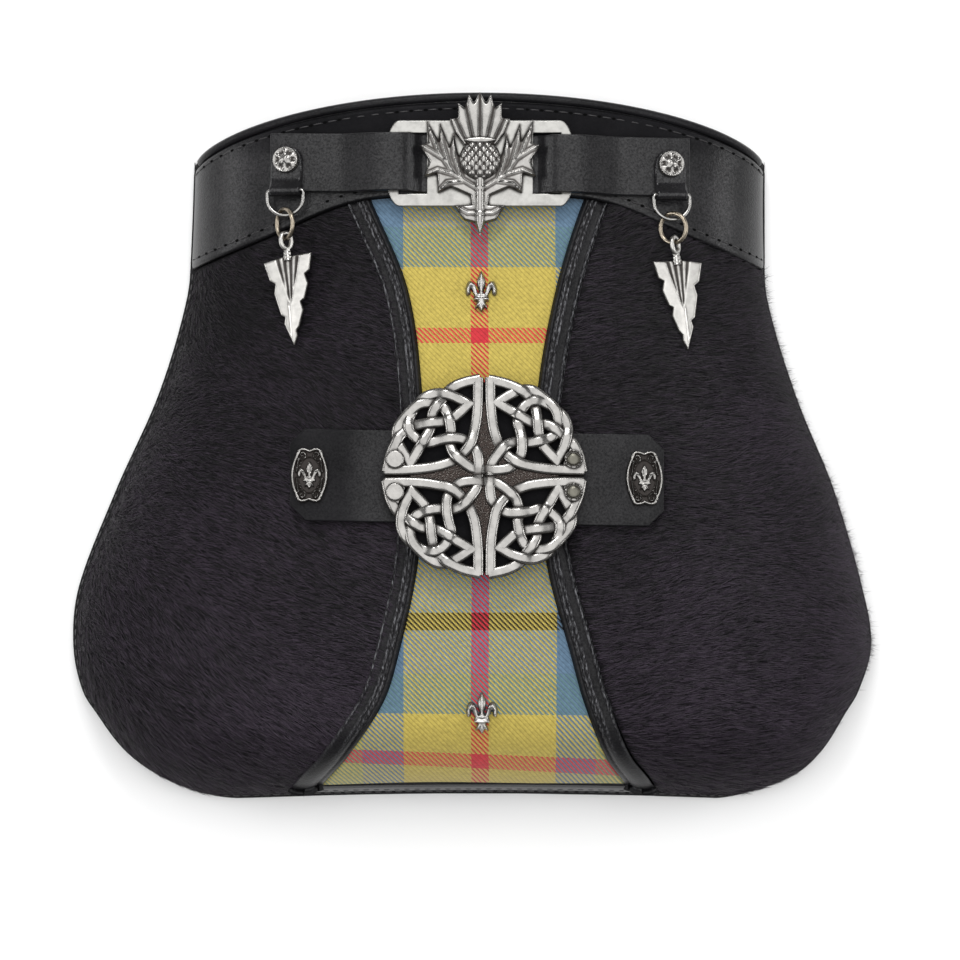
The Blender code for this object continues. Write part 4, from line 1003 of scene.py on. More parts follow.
def lay_hair(name, side, root, out, rng):
    """Tapered blades that rise from their roots and lie along the comb's direction."""
    count = len(root)
    wave = np.sin(root[:, 0] * 61 + 1.3) * np.cos(root[:, 1] * 47 - 0.6)
    wave += 0.6 * np.sin(root[:, 1] * 118 + root[:, 0] * 83)
    tuft = np.sin(root[:, 0] * 410 + 2.0 * np.sin(root[:, 1] * 300)) * np.sin(root[:, 1] * 520)
    slope = np.radians((-24 if side < 0 else 6) + 10 * wave + 9 * tuft + rng.normal(0, 8, count))
    way = np.stack([np.cos(slope), np.sin(slope), np.zeros(count)], -1)
    way -= out * (way * out).sum(1, keepdims=True) * 0.94
    way /= np.maximum(np.linalg.norm(way, axis=1, keepdims=True), 1e-9)
    across = np.cross(way, out)
    length = (HAIR_LENGTH * (0.6 + 0.7 * rng.random(count)))[:, None]
    stand = (rng.random(count) ** 2)[:, None]
    half = (HAIR_WIDTH / 2 * (0.75 + 0.5 * rng.random(count)))[:, None]
    broad = across + out * rng.normal(0, 0.4, count)[:, None]
    bend = root + way * length * 0.52 + out * (0.50 + 0.45 * stand) * MM
    tip = root + way * length + out * (0.50 + 1.0 * stand) * MM
    slim = broad * half * 0.85
    points = np.stack([root - broad * half, root + broad * half, bend - slim, bend + slim, tip], 1)
    start = np.arange(count)[:, None] * 5
    loops = np.concatenate([start + np.array([0, 1, 3, 2]), start + np.array([2, 3, 4])], 1).ravel()
    mesh = bpy.data.meshes.new(name)
    mesh.vertices.add(count * 5)
    mesh.vertices.foreach_set("co", points.ravel())
    mesh.loops.add(len(loops))
    mesh.loops.foreach_set("vertex_index", loops.astype(np.int32))
    totals = np.tile([4, 3], count)
    mesh.polygons.add(len(totals))
    mesh.polygons.foreach_set("loop_start", np.concatenate([[0], np.cumsum(totals)[:-1]]).astype(np.int32))
    mesh.update(calc_edges=True)
    mesh.validate()
    mark(mesh, "tone", np.repeat(rng.random(count), 5))
    put(mesh, HAIR)


def both_sides(first, last, count, columns, edge):
    """Points of a panel that runs from one side of the middle to the other."""
    shares = np.linspace(0, 1, columns + 1)
    lx, ly = panel(first, last, count, shares, middle, edge, -1)
    rx, ry = panel(first, last, count, shares, middle, edge, 1)
    return np.concatenate([lx[:, :0:-1], rx], 1), np.concatenate([ly[:, :0:-1], ry], 1)


def make_tartan():
    """The stretched tartan panel, with a slight swell."""
    x, y = both_sides(FOOT_SHARE, 1.0, 130, 32, cloth_edge)
    y[0] += GAP
    points = on_front(x, y)
    swell = 0.25 * MM * np.sin(x * 90) * np.cos(y * 55)
    obj = sheet_grid("tartan", on_front(x, y, swell), TARTAN, ("tartan_panel",), TARTAN_WALL)


def make_borders():
    """Leather strips beside the tartan, which swell into a wide glossy roll near the foot."""
    columns = 48
    shares = np.linspace(0, 1, columns + 1)
    height = curve_through(BORDER_SECTION, shares, 1)
    wear_and_glint = curve_through(BORDER_SECTION, shares, 2)
    roll = np.sqrt(np.maximum(0.0, 1 - ((shares - 0.62) / 0.40) ** 2)) * 1.5
    for name, side in BOTH:
        x, y = panel(FOOT_SHARE, 1.0, 300, shares, strip_inner, strip_outer, side)
        y[0] += GAP
        low = smooth_step((-0.068 - y) / (24 * MM))
        worn_glint = (wear_and_glint > 0.3)[None, :]
        grain = np.sin(y * 1900 + shares * 70) * np.sin(y * 1130 - shares * 90) * 0.12 * worn_glint
        lumps = np.sin(y * 1450 + 3.1 * side) * 0.05 * (shares < 0.25)
        shape = (height + grain + lumps) * (1 - low) + np.maximum(roll, height * 0.3) * low
        points = on_front(x, y, BORDER_LIFT * shape)
        strip = ("tartan_border_" + name,)
        obj = sheet_grid("border_" + name, points, BORDER, strip, PANEL_THICKNESS)
        # Marks the ridges for grey streaks: partly wear, partly painted glints
        mark(obj.data, "wear_and_glint", np.clip(wear_and_glint, 0, 1) * (1 - 0.85 * low))
        seam = int(0.25 * columns)
        row = (x[:, seam], y[:, seam], BORDER_LIFT * 0.5)
        label = "border_stitches_" + name
        stitch_row(label, row, BORDER_STITCH, 1.6 * MM, THREAD_RADIUS, THREAD, holes=False)


def stitch_row(name, row, pitch, run, radius, finish, holes=True):
    """Sewn stitches along a line on the front, with flat discs of painted shade as needle holes between them
    where asked.
    """
    line = on_front(*row)
    along = run_length(line)
    threads, pits = Heap(), Heap()
    ts = np.linspace(-1, 1, 7)
    size = np.sqrt(np.maximum(0.04, 1 - ts ** 4 * 0.9))
    for k in range(int(along[-1] / pitch)):
        centre = (k + 0.5) * pitch
        stops = centre + np.array([-0.5, 0.0, 0.5]) * run
        back, spot, fore = at_lengths(stops, along, line)
        normal = front_normal(spot[:1], spot[1:2])[0]
        way = (fore - back) / np.linalg.norm(fore - back)
        side = np.cross(way, normal)
        rise = (1 - ts[:, None] ** 2) * radius * 0.7 - radius * 0.5
        path = spot + way * (ts[:, None] * run / 2) + normal * rise
        threads.add(*sweep(path, normal, circle(radius, 7), scale=size))
        if holes:
            # A flat dark disc of painted shade stands for the needle hole
            hole = spot + way * pitch / 2 + normal * 0.05 * MM
            rim = [hole + way * px + side * py for px, py in ellipse(0.66 * MM, 0.42 * MM, 14)]
            pits.add(rim, [tuple(range(14))])
    put(threads.mesh(name), finish)
    if holes:
        put(pits.mesh(name + "_holes"), HOLE_SHADE)


def make_foot_band():
    """Leather under the tartan, with its row of stitches."""
    x, y = both_sides(0.0, FOOT_SHARE, 20, 60, strip_outer)
    ts = np.linspace(0, 1, len(x))[:, None]
    lift = FOOT_BAND_LIFT * (0.35 + 0.65 * smooth_step(ts * 6) * smooth_step((1 - ts) * 6))
    points = on_front(x, y, lift)
    points[..., 2] = np.maximum(points[..., 2], FRONT_FOOT)
    sheet_grid("foot_band", points, LEATHER, ("bottom_binding",), PANEL_THICKNESS)
    near_top = int(len(x) * 0.55)
    row = (x[near_top], y[near_top], FOOT_BAND_LIFT)
    stitch_row("foot_stitches", row, SEAM_STITCH, 2.3 * MM, 0.25 * MM, GLINT, holes=False)


def yoke_points(outs, rows, low_inset=0.0, high_inset=0.0):
    """Points (x, y) of the yoke, at signed shares of the half width and shares of its height."""
    outs = np.asarray(outs)[None, :]
    low = yoke_edge(np.abs(outs)) + GAP / 2 + low_inset
    high = rim_edge(np.abs(outs)) - RIM_BEAD - GAP - high_inset
    y = low + (high - low) * np.asarray(rows)[:, None]
    return at_shares(outs, y), y


def make_yoke():
    """Leather band across the top, turned down at the sides, sewn along both edges."""
    outs = np.sin(np.linspace(-np.pi / 2, np.pi / 2, 221))
    rows = np.linspace(0, 1, 46)
    x, y = yoke_points(outs, rows)
    near = np.minimum(rows, 1 - rows)[:, None] * 30 * MM
    lift = YOKE_LIFT - 0.8 * MM * np.maximum(0.0, 1 - near / (1.0 * MM)) ** 2
    lift = lift + 0.12 * MM * np.sin(x * 140 + 0.5) * np.sin(y * 120)
    points = on_front(x, y, lift)
    points[..., 2] = np.maximum(points[..., 2], FRONT_FOOT)
    wall = PANEL_THICKNESS + YOKE_LIFT
    obj = sheet_grid("yoke_leather", points, GLOSS, ("yoke",), wall)
    # Painted shade on the yoke above the belt, strongest towards the middle
    above = smooth_step((y - BELT_HEIGHT - 1 * MM) / (6 * MM))
    inward = 1 - smooth_step((np.abs(x) - 58 * MM) / (34 * MM))
    mark(obj.data, "painted_shade", above * inward)
    outs = np.sin(np.linspace(-1.52, 1.52, 400))
    lower = yoke_points(outs, [0.0], low_inset=3.0 * MM)
    upper = yoke_points(outs, [1.0], high_inset=2.2 * MM)
    for label, (sx, sy) in (("lower", lower), ("upper", upper)):
        row = (sx[0], sy[0], YOKE_LIFT)
        stitch_row("yoke_stitches_" + label, row, YOKE_STITCH, 3.2 * MM, THREAD_RADIUS, THREAD)


def make_rim():
    """Rounded binding along the mouth's front edge."""
    outs = np.sin(np.linspace(-1.46, 1.46, 240))
    y = rim_edge(np.abs(outs)) - RIM_BEAD / 2
    x = at_shares(outs, y)
    path = np.stack([x, y, front_height(x, y) + (YOKE_LIFT - PANEL_THICKNESS) / 2], -1)
    heap = Heap()
    heap.add(*sweep(path, (0.0, 1.0, 0.0), circle(RIM_BEAD / 2, 18)))
    obj = put(heap.mesh("rim_roll"), GLOSS, ("rim_binding",))
    # Painted shade along the whole rim roll
    mark(obj.data, "painted_shade", np.full(len(obj.data.vertices), 0.62))


def side_outline(inset, count=90):
    """Outline from the right corner round the bottom to the left corner."""
    heights = BAG_FOOT + SIDE_HEIGHT * (np.arange(count + 1) / count) ** 2
    right = [(float(half_width(y, 1)) - inset, max(y, BAG_FOOT + inset)) for y in heights[:0:-1]]
    left = [(-float(half_width(y, -1)) + inset, max(y, BAG_FOOT + inset)) for y in heights[1:]]
    reach = BAG_WIDTH * 0.29
    bottom = [(s * reach, float(bottom_edge(s * reach)) + inset) for s in np.linspace(1, -1, 13)]
    return right + bottom + left


def make_back_and_welt():
    """Flat back and the sewn edge on it."""
    corner = float(half_width(BAG_FOOT + SIDE_HEIGHT, 1))
    arc = []
    for k in range(1, 70):
        out = math.cos(math.pi * (1 - k / 70))
        arc.append((out * corner, float(rim_edge(abs(out))) - RIM_BEAD / 2))
    back = [side_outline(0.0) + arc]
    plate("back_leather", back, BACK_THICKNESS, LEATHER, ("back_panel",), edge=0.5 * MM)
    outer, inner = side_outline(0.0), side_outline(WELT_WIDTH)
    drop = RIM_BEAD + 2 * GAP
    for line in (outer, inner):
        line[0] = (line[0][0], line[0][1] - drop)
        line[-1] = (line[-1][0], line[-1][1] - drop)
    ring = [outer + inner[::-1]]
    base = BACK_THICKNESS + GAP
    plate("welt_leather", ring, WELT_THICKNESS, BORDER, ("seam_welt",), base=base, edge=0.45 * MM)
    line = np.array(side_outline(0.85 * MM, 200))
    line = line[line[:, 1] < line[0, 1] - 4 * MM]
    edge_stitches(np.column_stack([line, np.full(len(line), WELT_TOP + 0.02 * MM)]))


def edge_stitches(line):
    """Flat row of stitches on the seam's edge."""
    along = run_length(line)
    heap = Heap()
    places = np.linspace(-1.15, 1.15, 5) * MM
    for k in range(int(along[-1] / SEAM_STITCH)):
        centre = (k + 0.5) * SEAM_STITCH
        path = at_lengths(centre + places, along, line)
        path[:, 2] += THREAD_RADIUS * 0.5 * np.array([0.0, 0.8, 1.0, 0.8, 0.0])
        heap.add(*sweep(path, (0.0, 0.0, 1.0), circle(THREAD_RADIUS, 6), scale=(0.5, 1, 1, 1, 0.5)))
    put(heap.mesh("welt_stitches"), GLINT)


# Straps


def belt_lift(x):
    """Height of the belt's underside above the front: under the plate's middle, over its bars."""
    rise = OVER_BAR_LIFT - BELT_LIFT
    out = np.abs(x)
    climb = rise * smooth_step((out - SLOT_INNER - BELT_SLACK) / (SLOT_LENGTH - BELT_SLACK))
    fall = rise * (1 - smooth_step((out - PLATE_LENGTH / 2 + BELT_SLACK) / BELT_FALL))
    return BELT_LIFT + np.where(out < SLOT_OUTER, climb, fall)


def make_belt():
    """Strap across the yoke, threaded through the plate."""
    x = np.linspace(-0.5, 0.5, 230)[None, :] * BELT_LENGTH + np.zeros((25, 1))
    y = BELT_HEIGHT + np.linspace(-0.5, 0.5, 25)[:, None] * BELT_WIDTH - x * BELT_TILT
    points = on_front(x, y, belt_lift(x), 1.0 * MM)
    sheet_grid("belt_strap", points, GLOSS, ("belt",), STRAP_THICKNESS, True, STRAP_EDGE)


def make_band():
    """Wide leather band behind the clasp, with clipped corners."""
    half = BAND_LENGTH / 2
    full = np.linspace(-1 + BAND_CLIP / half, 1 - BAND_CLIP / half, 150)
    outs = np.concatenate([[-1.0], full, [1.0]])[None, :]
    reach = BAND_WIDTH / 2 - np.where(np.abs(outs) == 1.0, BAND_CLIP, 0.0)
    y = BAND_HEIGHT + np.linspace(-1, 1, 41)[:, None] * reach - outs * BAND_DROP
    x = outs * half + BAND_SHIFT + 0 * y
    points = on_front(x, y, BAND_LIFT, 1.0 * MM)
    band = ("lower_band",)
    obj = sheet_grid("band_strap", points, LEATHER, band, STRAP_THICKNESS, True, STRAP_EDGE)
    # Painted shade on the band: darkest at its left end, a little at its right end
    left_end = 1 - smooth_step((x + 46 * MM) / (10 * MM))
    right_end = smooth_step((x - 30 * MM) / (26 * MM))
    mark(obj.data, "painted_shade", 0.10 + 0.62 * left_end + 0.16 * right_end)


# Cast metal


def inside(points, outline):
    """Which points lie inside a closed outline."""
    x, y = points[:, 0], points[:, 1]
    hit = np.zeros(len(points), bool)
    ring = np.asarray(outline)
    for (x1, y1), (x2, y2) in zip(ring, np.roll(ring, -1, 0)):
        if y1 != y2:
            hit ^= ((y1 > y) != (y2 > y)) & (x < (x2 - x1) * (y - y1) / (y2 - y1) + x1)
    return hit


def distance(points, line, closed=False):
    """Distance from points to a line of segments."""
    line = np.asarray(line, float)
    starts, ends = (line, np.roll(line, -1, 0)) if closed else (line[:-1], line[1:])
    best = np.full(len(points), 1e9)
    for p, q in zip(starts, ends):
        run = q - p
        t = np.clip(((points - p) @ run) / max(run @ run, 1e-18), 0, 1)
        best = np.minimum(best, np.linalg.norm(points - (p + t[:, None] * run), axis=1))
    return best


def nearest(points, lines):
    """Distance from points to the nearest of some lines."""
    return np.min([distance(points, line) for line in lines], 0)


def relief(outline, step, shape, back=0.0):
    """A casting: an outline filled with a fine mesh, whose height is shape(points, distance to the edge).

    A shape may also give how deep each point lies in a recess, from 0 to 1.
    """
    ring = np.asarray(outline, float)
    fine = []
    for p, q in zip(ring, np.roll(ring, -1, 0)):
        pieces = max(1, int(np.linalg.norm(q - p) / step))
        fine += [p + (q - p) * k / pieces for k in range(pieces)]
    fine = np.array(fine)
    low, high = fine.min(0), fine.max(0)
    gx, gy = np.meshgrid(np.arange(low[0], high[0], step), np.arange(low[1], high[1], step * 0.87))
    gx[1::2] += step / 2
    spots = np.column_stack([gx.ravel(), gy.ravel()])
    spots = spots[inside(spots, fine)]
    spots = spots[distance(spots, ring, True) > step * 0.45]
    count = len(fine)
    edges = [(k, (k + 1) % count) for k in range(count)]
    points = [Vector(p / MM) for p in np.concatenate([fine, spots])]
    found, _, faces, _, _, _ = delaunay_2d_cdt(points, edges, [], 0, 1e-6)
    flat = np.array([[v.x, v.y] for v in found]) * MM
    faces = np.array([list(f) for f in faces])
    faces = faces[inside(flat[faces].mean(1), fine)]
    heights = shape(flat, distance(flat, ring, True))
    heights, recess = heights if isinstance(heights, tuple) else (heights, np.zeros(len(flat)))
    top = np.column_stack([flat, heights])
    bottom = np.column_stack([flat, np.full(len(flat), back)])
    points = np.concatenate([top, bottom])
    return points, closed_faces(faces, len(flat)), np.concatenate([recess, np.ones(len(flat))])


def closed_faces(faces, count):
    """Faces of a top, of the bottom that lies count points after it, and of the wall between."""
    use = {}
    for f in faces:
        for i, j in ((f[0], f[1]), (f[1], f[2]), (f[2], f[0])):
            key = (min(i, j), max(i, j))
            use[key] = None if key in use else (i, j)
    made = [tuple(f) for f in faces] + [tuple(i + count for i in reversed(f)) for f in faces]
    return made + [(i, i + count, j + count, j) for i, j in (pair for pair in use.values() if pair)]


def crown(edge, width, height):
    """Rounded rise from the edge."""
    t = np.clip(edge / width, 0, 1)
    return height * np.sqrt(np.maximum(0.0, 1 - (1 - t) ** 2))


def soft(distances, width):
    """1 on a line, falling off beside it."""
    return np.exp(-(distances / width) ** 2)


def cast(name, pieces, finish, stands_for=()):
    """Put placed shapes together as one casting: (points, faces, place) or (points, faces, recess, place)."""
    heap = Heap()
    for points, faces, *recess, place in pieces:
        heap.add(points, faces, place, *recess)
    obj = put(heap.mesh(name), finish, stands_for)
    mark(obj.data, "recess", np.concatenate(heap.values))
    obj.data.set_sharp_from_angle(angle=math.radians(52))


def knot_dome(x, y):
    return CLASP_DOME * np.maximum(0.0, 1 - (x * x + y * y) / CLASP_RADIUS ** 2)


def quarter_turn(x, y, times):
    for _ in range(times):
        x, y = y, -x
    return x, y


def clasp_place(lift):
    return seat(CLASP_RIGHT, BAND_HEIGHT - CLASP_BELOW, lift)


def make_clasp():
    """Pierced knotwork of broad flat strands that pass over and under, on a leather disc."""
    section = [(across * STRAND_WIDTH / 2, up * STRAND_THICKNESS) for across, up, _ in STRAND_SECTION]
    tarnish_and_shade = np.array([row[2] for row in STRAND_SECTION])
    place = clasp_place(KNOT_LIFT)
    pieces = []
    for turn in range(4):
        for table, corners in STRANDS:
            points = []
            for right, up, level in table:
                x, y = quarter_turn(right * CLASP_RADIUS / 100, up * CLASP_RADIUS / 100, turn)
                points.append((x, y, level * WEAVE_RISE))
            path = smooth_path(points, 0.6 * MM, corners)
            # Painted shade where a strand dips under another, with tarnish and painted shade on its walls
            under = np.clip(-path[:, 2] / WEAVE_RISE, 0, 1)
            path[:, 2] += knot_dome(path[:, 0], path[:, 1]) + WEAVE_RISE
            recess = np.maximum(under[:, None] * 0.6, tarnish_and_shade[None, :])
            pieces.append((*ribbon(path, section), recess.ravel(), place))
    pieces += [(*land, place) for land in rivet_lands()]
    cast("knotwork", pieces, SILVER, ("clasp_knot",))
    cast("clasp_grounds", [(*ground_relief(), place)], GROUND)
    disc = [circle(BACKING_RADIUS, 120)]
    under = clasp_place(BACKING_LIFT)
    obj = plate("clasp_leather", disc, STRAP_THICKNESS, LEATHER, ("clasp_backing",), under)
    # Painted shade over the whole backing disc under the knot
    mark(obj.data, "painted_shade", np.ones(len(obj.data.vertices)))
    make_clasp_rivets()


def ribbon(path, section):
    """A strand that keeps its section upright and its width through sharp corners."""
    flat = path[:, :2]
    before = np.diff(flat, axis=0, prepend=flat[:1] * 2 - flat[1:2])
    after = np.diff(flat, axis=0, append=flat[-1:] * 2 - flat[-2:-1])
    before /= np.linalg.norm(before, axis=1, keepdims=True)
    after /= np.linalg.norm(after, axis=1, keepdims=True)
    run = before + after
    run /= np.maximum(np.linalg.norm(run, axis=1, keepdims=True), 1e-6)
    widen = 1 / np.clip((run * before).sum(1), 0.42, 1)
    side = np.stack([run[:, 1], -run[:, 0], np.zeros(len(run))], -1) * widen[:, None]
    section = np.asarray(section)
    rings = path[:, None, :] + side[:, None, :] * section[None, :, :1]
    rings = rings + np.array([0, 0, 1.0]) * section[None, :, 1:]
    return rings.reshape(-1, 3), ring_faces(*rings.shape[:2])


def rivet_lands():
    """Solid silver under the rivets, between the bars' ends and the outer strands."""
    made = []
    for side in (1, -1):
        for up in (1, -1):
            outline = [(side * x * CLASP_RADIUS, up * y * CLASP_RADIUS) for x, y in RIVET_LAND]
            made.append(relief(outline, 0.8 * MM, land_height, WEAVE_RISE))
    return made


def land_height(points, edge):
    base = knot_dome(points[:, 0], points[:, 1]) + WEAVE_RISE + 0.7 * STRAND_THICKNESS
    return base + crown(edge, 1.0 * MM, 0.3 * MM)


def ground_relief():
    """Ground of the four curved corners between the bars."""
    outline = []
    for turn in range(4):
        bends = [(right * CLASP_RADIUS / 100, up * CLASP_RADIUS / 100) for right, up, _ in BAR_STRAND[1:8]]
        outline += [quarter_turn(x, y, turn) for x, y in smooth_path(bends, 1.0 * MM)]

    def height(points, edge):
        return knot_dome(points[:, 0], points[:, 1]) + WEAVE_RISE + 0.7 * MM

    return relief(outline, 0.9 * MM, height, WEAVE_RISE)


def make_clasp_rivets():
    """Four rivets by the clasp's sides: flat bright heads on the left, worn domes in cups on the right."""
    lift = KNOT_LIFT + 0.7 * STRAND_THICKNESS + 2 * WEAVE_RISE + CLASP_DOME * 0.25
    ring = circle(CLASP_RIVET / 2, 40)

    def flat_head(points, edge):
        return crown(edge, 0.7 * MM, 0.8 * MM) + 0.4 * MM

    def cup(points, edge):
        sunk = 0.6 * MM * smooth_step((edge - 0.45 * MM) / (0.3 * MM))
        return crown(edge, 0.35 * MM, 0.9 * MM) - sunk + 0.4 * MM

    def worn_dome(points, edge):
        return crown(edge, 2.1 * MM, 0.9 * MM) + 0.5 * MM

    for level, up in (("upper", 1), ("lower", -1)):
        for side, right in BOTH:
            spot = clasp_place(lift) @ Matrix.Translation((right * RIVET_OUT, up * RIVET_UP, 0))
            name = f"clasp_rivet_{level}_{side}"
            head = relief(ring, 0.3 * MM, cup if right > 0 else flat_head)
            cast("head_" + name, [(*head, spot)], SILVER, (name,))
            if right > 0:
                dome = relief(circle(CLASP_RIVET * 0.37, 30), 0.3 * MM, worn_dome)
                cast("dome_" + name, [(*dome, spot)], WORN)


def make_slide_plate():
    """Bright flat plate with rounded ends, slotted for the belt."""
    outer = []
    for side in (1, -1):
        for k in range(25):
            angle = math.pi * (k / 24 - 0.5)
            x = side * (PLATE_LENGTH / 2 - PLATE_BOW + PLATE_BOW * math.cos(angle))
            outer.append((x, side * PLATE_WIDTH / 2 * math.sin(angle)))
    tall = BELT_WIDTH / 2 + SLOT_SLACK
    slots = []
    for near, far in ((SLOT_INNER, SLOT_OUTER), (-SLOT_OUTER, -SLOT_INNER)):
        slots.append([(near, -tall), (far, -tall), (far, tall), (near, tall)])
    plate("plate_silver", [outer] + slots, PLATE_THICKNESS, PLATE_SILVER, ("slide_plate",),
          seat(0.0, BELT_HEIGHT, PLATE_LIFT), edge=0.35 * MM)


def make_emblem():
    """Cast thistle: veined leaves and a stem, a scaled bulb and a tufted bloom."""
    half = EMBLEM_WIDTH / 2
    place = seat(0.0, BELT_HEIGHT, EMBLEM_LIFT) @ Matrix.Translation((0, -EMBLEM_CENTRE, 0))
    veins = []
    for vein in THISTLE_VEINS:
        for side in (1, -1):
            veins.append([(side * x * half, y * EMBLEM_HEIGHT) for x, y in vein])
    stem = [(0.0, 0.02 * EMBLEM_HEIGHT), (0.0, 0.46 * EMBLEM_HEIGHT)]

    def leaves(points, edge):
        near = nearest(points, veins)
        folded = 0.55 * soft(near, 0.40 * MM) + 0.35 * smooth_step(near / (1.6 * MM))
        stalk = np.maximum(0.0, 1 - (distance(points, stem) / (1.5 * MM)) ** 2)
        beside = soft(near - 0.95 * MM, 0.42 * MM) * 0.9
        recess = np.maximum(beside, soft(edge, 0.35 * MM) * 0.6) * (stalk <= 0)
        return (0.45 + crown(edge, 1.1 * MM, 0.95) + folded + 1.3 * np.sqrt(stalk)) * MM, recess

    def bloom(points, edge):
        turn = np.arctan2(points[:, 0], points[:, 1] - 0.44 * EMBLEM_HEIGHT)
        petals = np.abs(np.sin(turn * 15))
        rise = 1.2 + crown(edge, 0.8 * MM, 1.0) + 0.55 * petals
        return rise * MM, smooth_step((0.42 - petals) / 0.25)

    def bulb(points, edge):
        across = points[:, 0] / (2.7 * MM)
        up = (points[:, 1] - BULB_UP) / (3.4 * MM)
        lattice = np.abs(np.sin(math.pi * (across + up)) * np.sin(math.pi * (across - up)))
        rise = 1.6 + 2.7 * crown(edge, BULB_HALF, 1.0) + 0.6 * lattice ** 0.4
        return rise * MM, smooth_step((0.30 - lattice) / 0.22)

    def neck(points, edge):
        return 3.0 * MM + crown(edge, 1.0 * MM, 0.7 * MM)

    ball = [(x, y + BULB_UP) for x, y in ellipse(BULB_HALF, BULB_HALF * 1.02, 60)]
    collar = [(x * 0.78, y * 0.17 + BULB_UP + BULB_HALF * 0.93) for x, y in ellipse(BULB_HALF, BULB_HALF, 40)]
    cast("thistle", [
        (*relief(mirrored(scaled(THISTLE_LEAF, half, EMBLEM_HEIGHT)), 0.36 * MM, leaves), place),
        (*relief(mirrored(scaled(THISTLE_BLOOM, half, EMBLEM_HEIGHT)), 0.32 * MM, bloom), place),
        (*relief(ball, 0.34 * MM, bulb, 0.5 * MM), place),
        (*relief(collar, 0.34 * MM, neck, 0.5 * MM), place),
    ], SILVER, ("emblem_thistle",))


def lily_points(wide, high):
    """Smooth outline of a lily round its middle."""
    half = [(x * wide / 2, (y - 0.5) * high) for x, y in LILY]
    path = smooth_path(half, high * 0.03, LILY_CORNERS)
    return mirrored([(max(x, 0.0), y) for x, y in path])


def lily_ridges(wide, high):
    """Middle lines of a lily's petals and feet."""
    lines = []
    for line in LILY_RIDGES:
        for side in (1, -1):
            lines.append([(side * x * wide / 2, (y - 0.5) * high) for x, y in line])
    return lines


def make_fleurs():
    """Two lily studs on the tartan."""
    ridges = lily_ridges(FLEUR_WIDTH, FLEUR_HEIGHT)

    def petals(points, edge):
        near = nearest(points, ridges)
        rise = 0.6 * MM + crown(edge, 1.3 * MM, 1.0 * MM) + 0.5 * MM * soft(near, 0.5 * MM)
        clasp = soft(np.abs(points[:, 1] + 0.20 * FLEUR_HEIGHT), 0.5 * MM)
        clasp = clasp * (np.abs(points[:, 0]) < FLEUR_WIDTH * 0.28)
        recess = soft(edge, 0.30 * MM) * 0.7 * (1 - clasp)
        return rise + 0.7 * MM * clasp, recess

    body = relief(lily_points(FLEUR_WIDTH, FLEUR_HEIGHT), 0.24 * MM, petals)
    for label, right, up in FLEURS:
        place = seat(right * FLEUR_WIDTH, BAG_FOOT + up * SIDE_HEIGHT, GAP)
        cast("lily_" + label, [(*body, place)], BLADE, ("fleur_stud_" + label,))


def barrel(half_wide, half_high, bow):
    """Outline with a bulge on each side and flat ends with small scallops."""
    points = []
    for side in (1, -1):
        for k in range(13):
            t = k / 12 * 2 - 1
            points.append((side * (half_wide - bow * t * t), side * half_high * t * 0.86))
        for share, rise in ((0.60, 0.95), (0.42, 1.0), (0.2, 0.99), (0.0, 0.93)):
            points.append((side * half_wide * share, side * half_high * rise))
        for share, rise in ((0.2, 0.99), (0.42, 1.0), (0.60, 0.95)):
            points.append((-side * half_wide * share, side * half_high * rise))
    return points


def scroll(centre, radius, turns, start, way):
    """A spiral line that winds into its centre."""
    points = []
    for k in range(25):
        share = k / 24
        angle = start + way * share * turns * 2 * math.pi
        reach = radius * (1 - 0.85 * share)
        points.append((centre[0] + reach * math.cos(angle), centre[1] + reach * math.sin(angle)))
    return points


def make_cartouches():
    """Barrel-shaped conchos: a raised frame with scrolls in its corners round a lily."""
    half_wide, half_high = CARTOUCHE_WIDTH / 2, CARTOUCHE_HEIGHT / 2
    outline = barrel(half_wide, half_high, CARTOUCHE_BOW)
    lily_wide, lily_high = CARTOUCHE_WIDTH * 0.66, CARTOUCHE_HEIGHT * 0.52
    lily = lily_points(lily_wide, lily_high)
    ridges = lily_ridges(lily_wide, lily_high)
    scrolls, beads = [], []
    for side in (1, -1):
        for up in (1, -1):
            spot = (side * half_wide * 0.40, up * half_high * 0.73)
            scrolls.append(scroll(spot, half_wide * 0.34, 1.4, math.radians(90 * up), -side * up))
            shares = (0.12, 0.28, 0.44, 0.58)
            scrolls.append([(side * half_wide * (0.72 - 0.20 * t), up * half_high * t) for t in shares])
            for share, rise in ((0.54, 0.34), (0.47, 0.45)):
                beads.append((side * half_wide * share, up * half_high * rise))
    oval = ellipse(half_wide * 0.62, half_high * 0.66, 40)

    def face(points, edge):
        rim = smooth_step((1.0 * MM - edge) / (0.35 * MM)) * crown(edge, 0.45 * MM, 1.0)
        curls = soft(nearest(points, scrolls), 0.30 * MM)
        studs = soft(np.min([np.linalg.norm(points - np.array(b), axis=1) for b in beads], 0), 0.30 * MM)
        frame_line = soft(distance(points, oval, True), 0.20 * MM) * 0.45
        within = inside(points, lily)
        petals = np.where(within, crown(distance(points, lily, True), 0.35 * MM, 1.0), 0.0)
        petals = petals * (0.75 + 0.4 * soft(nearest(points, ridges), 0.35 * MM))
        raised = np.max([rim, curls, studs * 0.9, frame_line, petals], 0)
        return 0.9 * MM + 0.95 * MM * raised, smooth_step((0.62 - raised) / 0.35) * 1.25

    for label, side in BOTH:
        x = BAND_SHIFT + side * (BAND_LENGTH / 2 - CARTOUCHE_INSET)
        place = seat(x, BAND_HEIGHT - side * BAND_DROP / 2, BAND_LIFT + STRAP_THICKNESS + GAP)
        body = relief(outline, 0.22 * MM, face)
        cast("concho_" + label, [(*body, place)], SILVER, ("cartouche_" + label,))


